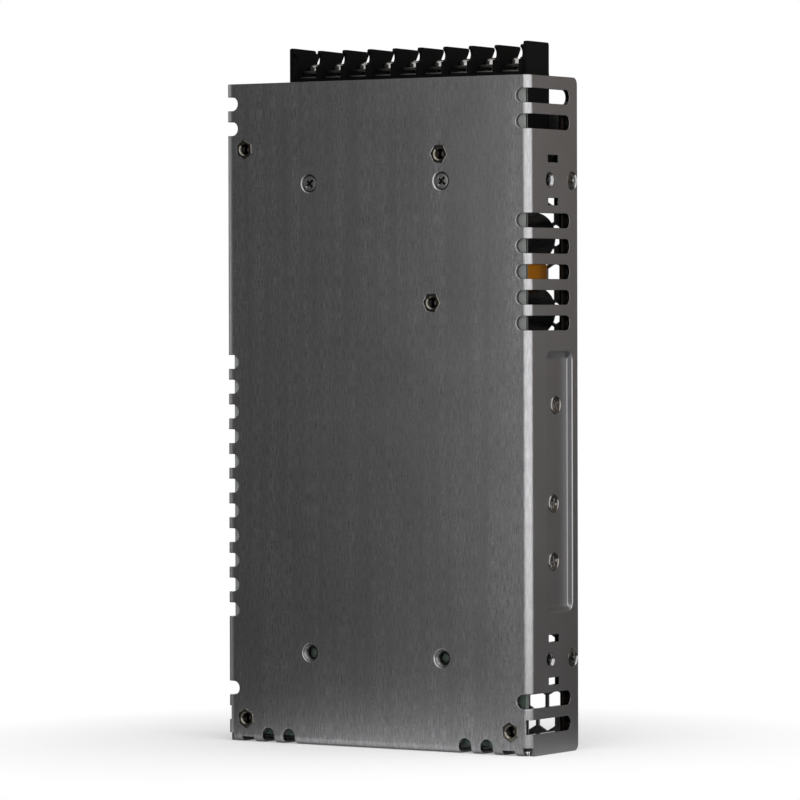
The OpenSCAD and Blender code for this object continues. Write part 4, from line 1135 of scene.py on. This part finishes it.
# How each finish is made, its colour or the name of its setting, and the rest of what its maker takes; a metal's
# (axis, low, high) gives where painted shade darkens it
RECIPES = {
    "aluminium_sheet": (chassis_finish, "sheet", 0.36),
    "perforated_sheet": (cover_finish, "cover", 0.34),
    "plated_steel": (metal_finish, "steel", 0.28),
    "base_screw": (metal_finish, (0.36, 0.355, 0.35), 0.38, (1, -FACE_Y - 0.55, -FACE_Y - 0.72)),
    "cover_screw": (metal_finish, (0.32, 0.315, 0.31), 0.2, (0, HALF - 0.42, HALF - 0.62)),
    "device_screw": (metal_finish, (0.33, 0.315, 0.30), 0.16),
    "spring_steel": (metal_finish, (0.34, 0.34, 0.35), 0.32),
    "plated_contact": (metal_finish, (0.40, 0.39, 0.37), 0.3, (2, CONTACT_TOP - 0.3, CONTACT_TOP - 0.4)),
    "terminal_steel": (metal_finish, (0.36, 0.35, 0.34), 0.15),
    "can_top": (metal_finish, (0.62, 0.62, 0.62), 0.35),
    "brass": (metal_finish, "brass", 0.1, (1, -FACE_Y - 0.1, -FACE_Y - 0.42), 0.6),
    "film": (plastic_finish, (0.41, 0.43, 0.415), 0.45, 700.0, 0.02, 0.0, 0.3, 0.7),
    "board": (board_finish, "board"),
    "block": (plastic_finish, "block", 0.5, 2200.0, 0.03, 0.0, 0.08),
    "pad": (plastic_finish, (0.40, 0.41, 0.43), 0.7, 1200.0, 0.03),
    "device_case": (plastic_finish, (0.020, 0.020, 0.021), 0.5, 1800.0, 0.03),
    "black_sleeve": (sleeve_finish, "sleeve"),
    "amber_case": (plastic_finish, "amber", 0.4, 500.0, 0.04, 0.0, 0.15),
    "fuse_tube": (plastic_finish, (0.66, 0.62, 0.52), 0.45, 900.0, 0.02),
    "dark_lacquer": (plastic_finish, (0.020, 0.055, 0.035), 0.25, 450.0, 0.05, 0.3),
    "blue_lacquer": (plastic_finish, (0.020, 0.085, 0.34), 0.25, 450.0, 0.05, 0.3),
    "ferrite": (plastic_finish, (0.045, 0.044, 0.045), 0.6, 1500.0, 0.05),
    "copper_wire": (wire_finish, "wire"),
    "bobbin": (plastic_finish, (0.06, 0.06, 0.06), 0.48, 1300.0, 0.03),
    "yellow_tape": (tape_finish, "tape"),
    "powder_core": (plastic_finish, (0.60, 0.50, 0.13), 0.55, 800.0, 0.06),
    "resistor_body": (banded_finish, (0.33, 0.47, 0.56), RINGS),
    "led_lens": (lens_finish, (0.06, 0.42, 0.10)),
    "trimmer_case": (plastic_finish, (0.015, 0.06, 0.27), 0.35, 1400.0, 0.02),
    "trimmer_dial": (plastic_finish, (0.76, 0.76, 0.72), 0.42, 1400.0, 0.02),
}
FINISHES = {}


def finish(slot):
    """The finish of a material slot, made once."""
    if slot not in FINISHES:
        make, base, *rest = RECIPES[slot]
        FINISHES[slot] = make(slot, getattr(settings("finish"), base) if isinstance(base, str) else base, *rest)
    return FINISHES[slot]


# Operators


class Builder:
    bl_options = {"REGISTER", "UNDO"}

    def execute(self, context):
        self.build()
        return {"FINISHED"}


class SUPPLY_OT_stage(Builder, bpy.types.Operator):
    """Sets the floor, the soft lights and the camera"""

    bl_idname = "supply.stage"
    bl_label = "Stage"

    def build(self):
        scene = bpy.context.scene
        scene.view_settings.view_transform = "Standard"
        size = settings("stage")
        self.camera(scene, size)
        self.surround(scene, size)
        self.floor(size)
        self.softbox("Key", size.key, extent=(0.606, 0.45), place=(0.189, -0.0325, 0.225),
                     aim=(-0.0981, 0.2451, 0.225))
        self.softbox("Top", size.top, extent=(0.9, 0.7), place=(0.05, -0.15, 0.9), aim=(0.0, 0.0, 0.15))

    def camera(self, scene, size):
        yaw, pitch, roll = size.aim
        lens = bpy.data.cameras.new("Camera")
        lens.lens = size.lens
        lens.sensor_fit = "HORIZONTAL"
        lens.sensor_width = 36.0
        lens.clip_start = 0.01
        scene.camera = add_object("Camera", lens)
        turns = ((yaw, "Z"), (math.pi / 2 + pitch, "X"), (roll, "Z"))
        yawed, pitched, rolled = (Matrix.Rotation(angle, 4, axis) for angle, axis in turns)
        scene.camera.matrix_world = Matrix.Translation(size.camera) @ yawed @ pitched @ rolled

    def surround(self, scene, size):
        """White where it is seen, and a darker room with a few bright parts where metal mirrors it."""
        world = bpy.data.worlds.new("Surround")
        world.use_nodes = True
        scene.world = world
        s = Tree(world.node_tree)
        s.tree.nodes.clear()
        path = s.add("ShaderNodeLightPath").outputs
        x, y, z = s.parts(s.add("ShaderNodeTexCoord").outputs["Generated"])
        low = s.blend(z, 0.05, 0.22, 1.0, 0.0)
        behind = s.math("MULTIPLY_ADD", x, -0.9, y)
        beside = s.math("MULTIPLY_ADD", x, -0.866, s.times(y, -0.5))
        room = s.mix(s.blend(x, -0.3, 0.5), size.mirrored, size.aside)
        room = s.mix(s.times(s.blend(behind, 0.62, 0.85), low), room, (0.9, 0.9, 0.9))
        room = s.mix(s.times(s.blend(beside, 0.965, 0.985), low), room, (0.8, 0.8, 0.8))
        room = s.mix(s.blend(z, 0.55, 0.95), room, (0.3, 0.3, 0.3))
        light = s.mix(path["Is Glossy Ray"], (size.surround,) * 3, room)
        shown = s.math("MAXIMUM", path["Is Camera Ray"], path["Is Transmission Ray"])
        glow = s.out("ShaderNodeBackground", {"Color": s.mix(shown, light, (1.0, 1.0, 1.0)), "Strength": 1.0})
        s.add("ShaderNodeOutputWorld", {"Surface": glow})

    def floor(self, size):
        """A pale floor that fades to white and stays dim in the metal's reflections."""
        mesh = bpy.data.meshes.new("Floor")
        mesh.from_pydata([(x, y, 0.0) for x, y in rectangle(6.0, 6.0)], [], [(0, 1, 2, 3)])
        s = Finish("Floor", size.floor)
        s.start(s.noise(s.place, 60.0), 0.99, 1.0)
        s.rough = 0.9
        s.done(Specular_IOR_Level=0.1)

        def glow(tone):
            return s.out("ShaderNodeEmission", {"Color": tone, "Strength": 1.0})

        def either(factor, a, b):
            return s.out("ShaderNodeMixShader", {0: factor, 1: a, 2: b})

        path = s.add("ShaderNodeLightPath").outputs
        reached = s.add("ShaderNodeVectorMath", {0: s.place}, operation="LENGTH").outputs["Value"]
        own = s.shader.outputs[0]
        in_metal = either(s.times(s.blend(reached, 0.03, 0.1), path["Is Glossy Ray"]), own, glow(size.mirrored))
        fade = s.math("MULTIPLY_ADD", s.blend(reached, 0.04, 0.16), 0.75, 0.25)
        shown = either(path["Is Camera Ray"], in_metal, either(fade, own, glow((1.0, 1.0, 1.0))))
        s.put(s.tree.nodes["Material Output"].inputs["Surface"], shown)
        add_object("Floor", mesh, s.material)

    def softbox(self, name, power, extent, place, aim):
        lamp = bpy.data.lights.new(name, "AREA")
        lamp.shape = "RECTANGLE"
        lamp.size, lamp.size_y = extent
        lamp.energy = power
        light = add_object(name, lamp)
        turn = (Vector(aim) - Vector(place)).to_track_quat("-Z", "Y").to_matrix().to_4x4()
        light.matrix_world = Matrix.Translation(place) @ turn
        light.visible_camera = False


class SUPPLY_OT_chassis(Builder, bpy.types.Operator):
    """Folds the vented chassis from its flat pattern"""

    bl_idname = "supply.chassis"
    bl_label = "Chassis"

    def build(self):
        piece = add_object("chassis_sheet", chassis_mesh(Sizes("case")), finish("aluminium_sheet"))
        piece.modifiers.new("Flat faces", "WEIGHTED_NORMAL")
        ride(settle(piece), "aluminium_sheet", "chassis")


class SUPPLY_OT_cover(Builder, bpy.types.Operator):
    """Folds the cover and punches its rows of hexagons"""

    bl_idname = "supply.cover"
    bl_label = "Cover"

    def build(self):
        size = settings("cover")
        piece = add_object("cover_sheet", cover_mesh(Sizes("cover")))
        run_tree(piece, perforation_tree(), Rows=size.rows, Columns=size.columns, Pitch=size.pitch,
                 Row_Pitch=size.row_pitch, First_Row=size.first_row, Across_Flats=size.flats, Punch_Length=6.0 * MM,
                 Face=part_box("cover")[1].y, Finish=finish("perforated_sheet"))
        smooth(piece.data, 30)
        ride(piece, "perforated_sheet", "cover")


def pan_head(diameter, rise, shaft, reach):
    """A pan-head screw that stands on the plane of its head, with a thread below."""
    r = diameter / 2
    profile = threads(shaft / 2, -reach, -0.05, 0.5, 0.2) + [(r - 0.12, 0.0), (r, 0.1), (r, rise * 0.34)]
    for a in (14, 28, 42, 56, 70, 82):
        turn = math.radians(a)
        profile.append((r * math.cos(turn) ** 0.8, rise * (0.34 + 0.66 * math.sin(turn))))
    return lathe(profile + [(0.0, rise)], 40, "Pan head")


class SUPPLY_OT_fasteners(Builder, bpy.types.Operator):
    """Places the screws of the cover, the board, the devices and the base, and the board's standoffs"""

    bl_idname = "supply.fasteners"
    bl_label = "Fasteners"

    def build(self):
        sunk = threads(1.3, -3.4, -1.3, 0.45, 0.18)
        sunk += [(1.35, -1.1), (2.58, -0.14), (2.68, -0.05), (2.6, 0.0), (0.0, 0.02)]
        head = cut_away(lathe(sunk, 40, "Flat head"), cross_cutter(3.1, 0.9, 0.02))
        places = [((side * (HALF - 0.25), FACE_Y + COVER_SCREW_D, z), (0, side * 90, 0))
                  for side in (-1, 1) for z in HOLE_HEIGHTS]
        piece = copies("cover_screw_set", head, places, "cover_screw", spin=12.0, seed=3)
        ride(piece, "plated_steel", "cover_screws")

        head = cut_away(pan_head(5.6, 1.4, 2.6, 3.1), cross_cutter(5.6 * 0.62, 1.4 * 0.75, 1.4))
        places = [((x, FACE_Y + BOARD_TOP, z), (-90, 0, 0)) for x, z in STANDOFFS]
        piece = copies("board_screw_set", head, places, "plated_steel", spin=80.0, seed=5)
        ride(piece, "plated_steel", "board_screws")

        low = threads(1.3, -8.4, -0.05, 0.5, 0.2)
        low += [(2.86, 0.0), (2.94, 0.06), (2.94, 0.16), (2.8, 0.34), (2.68, 0.38), (2.35, 0.2), (0.0, 0.18)]
        head = cut_away(lathe(low, 40, "Low head"), cross_cutter(3.4, 0.9, 0.19))
        places = [((HALF - Sizes("case").press, FACE_Y + d, z), (0, 90, 0)) for d, z in DEVICE_SCREWS]
        piece = copies("device_screw_set", head, places, "device_screw", spin=50.0, seed=11)
        ride(piece, "plated_steel", "device_screws")

        self.base_screws()
        self.standoffs()

    def base_screws(self):
        """Screws left in the upper holes of the base, below its face."""
        sunk = threads(1.6, -3.9, -1.05, 0.6, 0.2)
        sunk += [(1.65, -1.0), (2.3, -0.3), (2.4, -0.17), (2.32, -0.05), (2.1, 0.0), (0.0, 0.05)]
        head = cut_away(lathe(sunk, 48, "Sunk head"), cross_cutter(3.5, 1.1, 0.05))
        places = [((x, FACE_Y + 0.35, HOLE_HEIGHTS[1]), (90, turn, 0)) for x, turn in BASE_SCREWS]
        ride(copies("base_screw_set", head, places, "base_screw"), "plated_steel")

    def standoffs(self):
        """Hexagonal standoffs set into the base, each at its own turn."""
        sheet, rise = Sizes("case").sheet, box("board_standoffs")[1].y - FACE_Y
        point = STANDOFF_FLATS / math.sqrt(3.0)
        flange = [(0.0, -sheet), (point, -sheet), (point, -0.12), (point - 0.14, 0.0), (0.0, 0.0)]
        shank = [(0.0, -rise), (2.5, -rise), (2.6, -rise + 0.12), (2.6, -sheet + 0.02), (0.0, -sheet + 0.02)]
        bore = [(0.0, -rise - 1), (1.45, -rise - 1), (1.45, -0.6), (2.0, -0.02), (2.12, 0.06), (2.12, 1.0), (0.0, 1.0)]
        form = bmesh.new()
        for profile, steps in ((flange, 6), (shank, 36)):
            form.from_mesh(cut_away(lathe(profile, steps, "Standoff"), lathe(bore, 36, "Standoff bore")))
        mesh = ended(form, "Standoff")
        smooth(mesh, 32)
        places = [((x, FACE_Y, z), (90, -turn, 0)) for (x, z), turn in zip(STANDOFFS, STANDOFF_TURNS)]
        ride(copies("standoff_set", mesh, places, "brass"), "brass", "board_standoffs")


class SUPPLY_OT_terminals(Builder, bpy.types.Operator):
    """Makes the terminal block with its contacts, clamping washers and screws"""

    bl_idname = "supply.terminals"
    bl_label = "Terminals"

    def build(self):
        self.block()
        size = Sizes("terminals")
        low, high = box("terminal_contacts")
        width = size.bay - 0.6
        xs = [low.x + width / 2 + size.pitch * i for i in range(size.bays)]
        depth = (low.y + high.y) / 2

        def row(name, mesh, z, slot, **turned):
            return copies(name, mesh, [((x, depth, z), (0, 0, 0)) for x in xs], slot, **turned)

        def plate(outline, thick):
            """A plate with the hole of its screw."""
            bore = size.thread / 2 + 0.15
            return cut_away(extruded(outline, 0.0, thick), lathe([(0, -1), (bore, -1), (bore, 3), (0, 3)]))

        def soften(piece, ease):
            eased(piece, ease, angle=50.0, miter="MITER_SHARP")
            smooth(piece.data, 50)
            return piece

        contact = plate(rounded_box(width, size.clamp + 1.2, 0.35), high.z - low.z)
        piece = row("terminal_contact_set", contact, low.z, "plated_contact")
        ride(soften(piece, 0.1), "plated_contact", "terminal_contacts")

        low, high = box("terminal_clamps")
        clamp = plate(rounded_box(size.clamp, size.clamp, 0.6), high.z - low.z)
        piece = row("terminal_clamp_set", clamp, low.z, "terminal_steel", spin=2.5, seed=7)
        ride(soften(piece, 0.16), "plated_steel", "terminal_clamps")

        head, rise = size.head, size.head_rise
        screw = pan_head(head, rise, size.thread, high.z - box("terminal_screws")[0].z)
        screw = cut_away(screw, cross_cutter(head * 0.66, rise * 0.8, rise), slot_cutter(head * 1.1, 0.75, 0.75, rise))
        piece = row("terminal_screw_set", screw, high.z, "terminal_steel", spin=90.0, seed=21)
        ride(piece, "plated_steel", "terminal_screws")

    def block(self):
        """The moulded block: its barriers lean back behind their lips and settle a little towards the right."""
        piece = refined("terminal_block", "block", 0.16)
        low, high = box("terminal_block")
        top, notch, r = high.z - 1.0, high.z - 3.75, 2.0
        lip, lean, deepest, set_in, rise = 0.9, 0.66, 1.6, 0.8, 0.42
        for vertex in piece.data.vertices:
            x, y, z = vertex.co / MM
            if y > high.y - 2.2 and notch - r < z < top + 0.05:
                was = min(high.y + 0.6 - math.sqrt(max(r * r - (z - notch) ** 2, 0.0)), high.y - 0.1)
                will = high.y + 0.42 - lean * max(top - z - lip, 0.0)
                y += max(will, high.y - deepest) - was
            if x < low.x + 0.4 and y < low.y + 1.9:
                x += set_in
            if z > notch:
                right, back = (x - low.x) / (high.x - low.x), (y - low.y) / (high.y - low.y)
                front_rise, back_rise = rise * (1 - right), 0.1 - 0.2 * right
                z += front_rise + (back_rise - front_rise) * back
            vertex.co = Vector((x, y, z)) * MM
        ride(piece, "block", "terminal_block")


class SUPPLY_OT_capacitors(Builder, bpy.types.Operator):
    """Makes the electrolytic capacitors and the line filter capacitor"""

    bl_idname = "supply.capacitors"
    bl_label = "Capacitors"

    def build(self):
        self.cans("bulk_capacitors", 2)
        self.cans("output_capacitors", 4)
        piece = refined("x_capacitor", "amber_case", 0.5, 3)
        low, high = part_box("x_capacitor")
        taller = 1.0 + FILTER_RISE * MM / (high.y - low.y)
        for vertex in piece.data.vertices:
            vertex.co.y = low.y + (vertex.co.y - low.y) * taller
        ride(piece, "amber_case", "x_capacitor")

    def cans(self, node, count):
        """Sleeved cans in a row on the board, with scored metal tops."""
        low, high = box(node)
        diameter, height = high.x - low.x, high.y - low.y
        r, top = diameter / 2, height - 0.7
        step = (high.z - low.z - diameter) / (count - 1)
        places = [((low.x + r, FACE_Y + BOARD_TOP, low.z + r + step * i), (-90, 0, 0)) for i in range(count)]
        sleeve = [(0, 0), (r - 1.2, 0), (r - 0.35, 0.08), (r, 0.5), (r, 2.1)]
        sleeve += [(r - 0.55 * math.sin(math.radians(a)), 2.1 + 1.6 * a / 180) for a in (30, 60, 90, 120, 150)]
        sleeve += [(r, 3.7), (r, height - 0.9), *arc(r - 0.8, height - 0.8, 0.8, 10, 90, 5)]
        sleeve += [(r - 1.7, height - 0.06), (r - 1.8, height - 0.25), (r - 1.8, top), (0, top)]
        piece = copies(node + "_sleeves", lathe(sleeve, 48, "Sleeve"), places, "black_sleeve", spin=180.0, seed=4)
        ride(piece, "black_sleeve", node)
        disc = [(0, top - 0.3), (r - 1.75, top - 0.3), (r - 1.75, top + 0.05), (r - 2.1, top + 0.3), (0, top + 0.32)]
        scores = [slot_cutter(diameter * 0.52, 0.35, 0.2, top + 0.32) for _ in range(2)]
        scores[1].transform(Matrix.Rotation(math.pi / 2, 4, "Z"))
        plate = cut_away(lathe(disc, 48, "Can top"), *scores)
        ride(copies(node + "_tops", plate, places, "can_top", spin=180.0, seed=4), "plated_steel")


class SUPPLY_OT_magnetics(Builder, bpy.types.Operator):
    """Makes the transformer, the output inductor and the line choke with their wound wire"""

    bl_idname = "supply.magnetics"
    bl_label = "Magnetics"

    def build(self):
        dress("transformer_core", "ferrite", 0.4)
        dress("transformer_bobbin", "bobbin", 0.18)
        dress("transformer_winding", "yellow_tape", 0.5, 3)
        dress("output_inductor_core", "powder_core", 0.9, 4)
        dress("line_choke_core", "ferrite", 0.4)
        self.ring()
        self.choke()

    def loop(self, width, height, radius, lead):
        """Points of one turn of wire, each with its lead to the side."""
        outline = rounded_box(width, height, radius, 4)
        return [(x, y, lead * math.sin(2 * math.pi * i / len(outline))) for i, (x, y) in enumerate(outline)]

    def ring(self):
        """Turns of wire round the ring core."""
        low, high = box("output_inductor_core")
        outer, rise = (high.x - low.x) / 2, high.y - low.y
        wall, wire, turns = 4.8, 0.62, 20
        path = self.loop(wall + 2 * wire + 0.3, rise + 2 * wire + 0.3, 1.3, 0.55)
        turn = swept([(x, lead, y) for x, y, lead in path], wire, "Ring turn")
        turn.transform(Matrix.Translation(Vector((outer - wall / 2, 0, 0)) * MM))
        tilt = Matrix.Rotation(math.radians(-90), 4, "X")
        places = []
        for i in range(turns):
            spin = (tilt @ Matrix.Rotation(2 * math.pi * i / turns, 4, "Z")).to_euler()
            places.append(((low + high) / 2, [math.degrees(a) for a in spin]))
        piece = copies("output_inductor_turns", turn, places, "copper_wire")
        ride(piece, "copper_wire", "output_inductor_winding")

    def choke(self):
        """Turns of wire on both legs of the choke's frame."""
        low, high = box("line_choke_windings")
        depth, winding, span = (low.y + high.y) / 2, high.y - low.y, high.z - low.z
        wire, margin = 0.48, 0.6
        across = winding - 2 * wire
        turn = swept(self.loop(across, across, 2.0, 0.5), wire, "Choke turn")
        turns = int((span - 2 * margin) / (2 * wire))
        step = (span - 2 * margin - 2 * wire) / (turns - 1)
        places = [((x, depth, low.z + margin + wire + step * i), (0, 0, 0))
                  for x in (low.x + winding / 2, high.x - winding / 2) for i in range(turns)]
        piece = copies("line_choke_turns", turn, places, "copper_wire")
        ride(piece, "copper_wire", "line_choke_windings")


class SUPPLY_OT_board(Builder, bpy.types.Operator):
    """Finishes the board, its insulating sheet and the smaller parts on it"""

    bl_idname = "supply.board"
    bl_label = "Board"

    def build(self):
        for node, slot, width, segments in (
            ("insulating_sheet", "film", 0.05, 1),
            ("circuit_board", "board", 0.12, 2),
            ("thermal_pad", "pad", 0.08, 1),
            ("power_devices", "device_case", 0.3, 2),
            ("device_clamps", "spring_steel", 0.2, 2),
            ("fuse", "fuse_tube", 0.4, 3),
            ("thermistor", "dark_lacquer", 1.3, 4),
            ("varistor", "blue_lacquer", 1.2, 4),
            ("y_capacitors", "blue_lacquer", 1.0, 4),
            ("bridge_rectifier", "device_case", 0.35, 2),
            ("control_module", "board", 0.1, 1),
            ("control_chip", "device_case", 0.2, 2),
            ("optocouplers", "device_case", 0.2, 2),
            ("power_resistors", "resistor_body", 0.6, 3),
            ("indicator_led", "led_lens", 0.12, 2),
            ("trimmer_body", "trimmer_case", 0.2, 2),
        ):
            dress(node, slot, width, segments)
        dress("trimmer_rotor", "trimmer_dial", 0.15, 2, body="trimmer")


class SUPPLY_PT_panel(bpy.types.Panel):
    """Lists the steps that make the power supply"""

    bl_idname = "SUPPLY_PT_panel"
    bl_label = "Power supply"
    bl_space_type = "VIEW_3D"
    bl_region_type = "UI"
    bl_category = "Power supply"

    def draw(self, context):
        for step in STEPS:
            self.layout.operator(step.bl_idname, text=step.bl_label)
        for name in SETTINGS:
            group = getattr(context.scene, name)
            column = self.layout.column()
            for key in group.__annotations__:
                column.prop(group, key)


STEPS = (
    SUPPLY_OT_stage,
    SUPPLY_OT_chassis,
    SUPPLY_OT_cover,
    SUPPLY_OT_fasteners,
    SUPPLY_OT_terminals,
    SUPPLY_OT_capacitors,
    SUPPLY_OT_magnetics,
    SUPPLY_OT_board,
)
CLASSES = (*SETTINGS.values(), *STEPS, SUPPLY_PT_panel)


def register():
    for each in CLASSES:
        bpy.utils.register_class(each)
    for name, group in SETTINGS.items():
        setattr(bpy.types.Scene, name, PointerProperty(type=group))


def unregister():
    for name in SETTINGS:
        delattr(bpy.types.Scene, name)
    for each in reversed(CLASSES):
        bpy.utils.unregister_class(each)


def main():
    register()
    for step in STEPS:
        area, verb = step.bl_idname.split(".")
        getattr(getattr(bpy.ops, area), verb)()


if __name__ == "__main__":
    main()
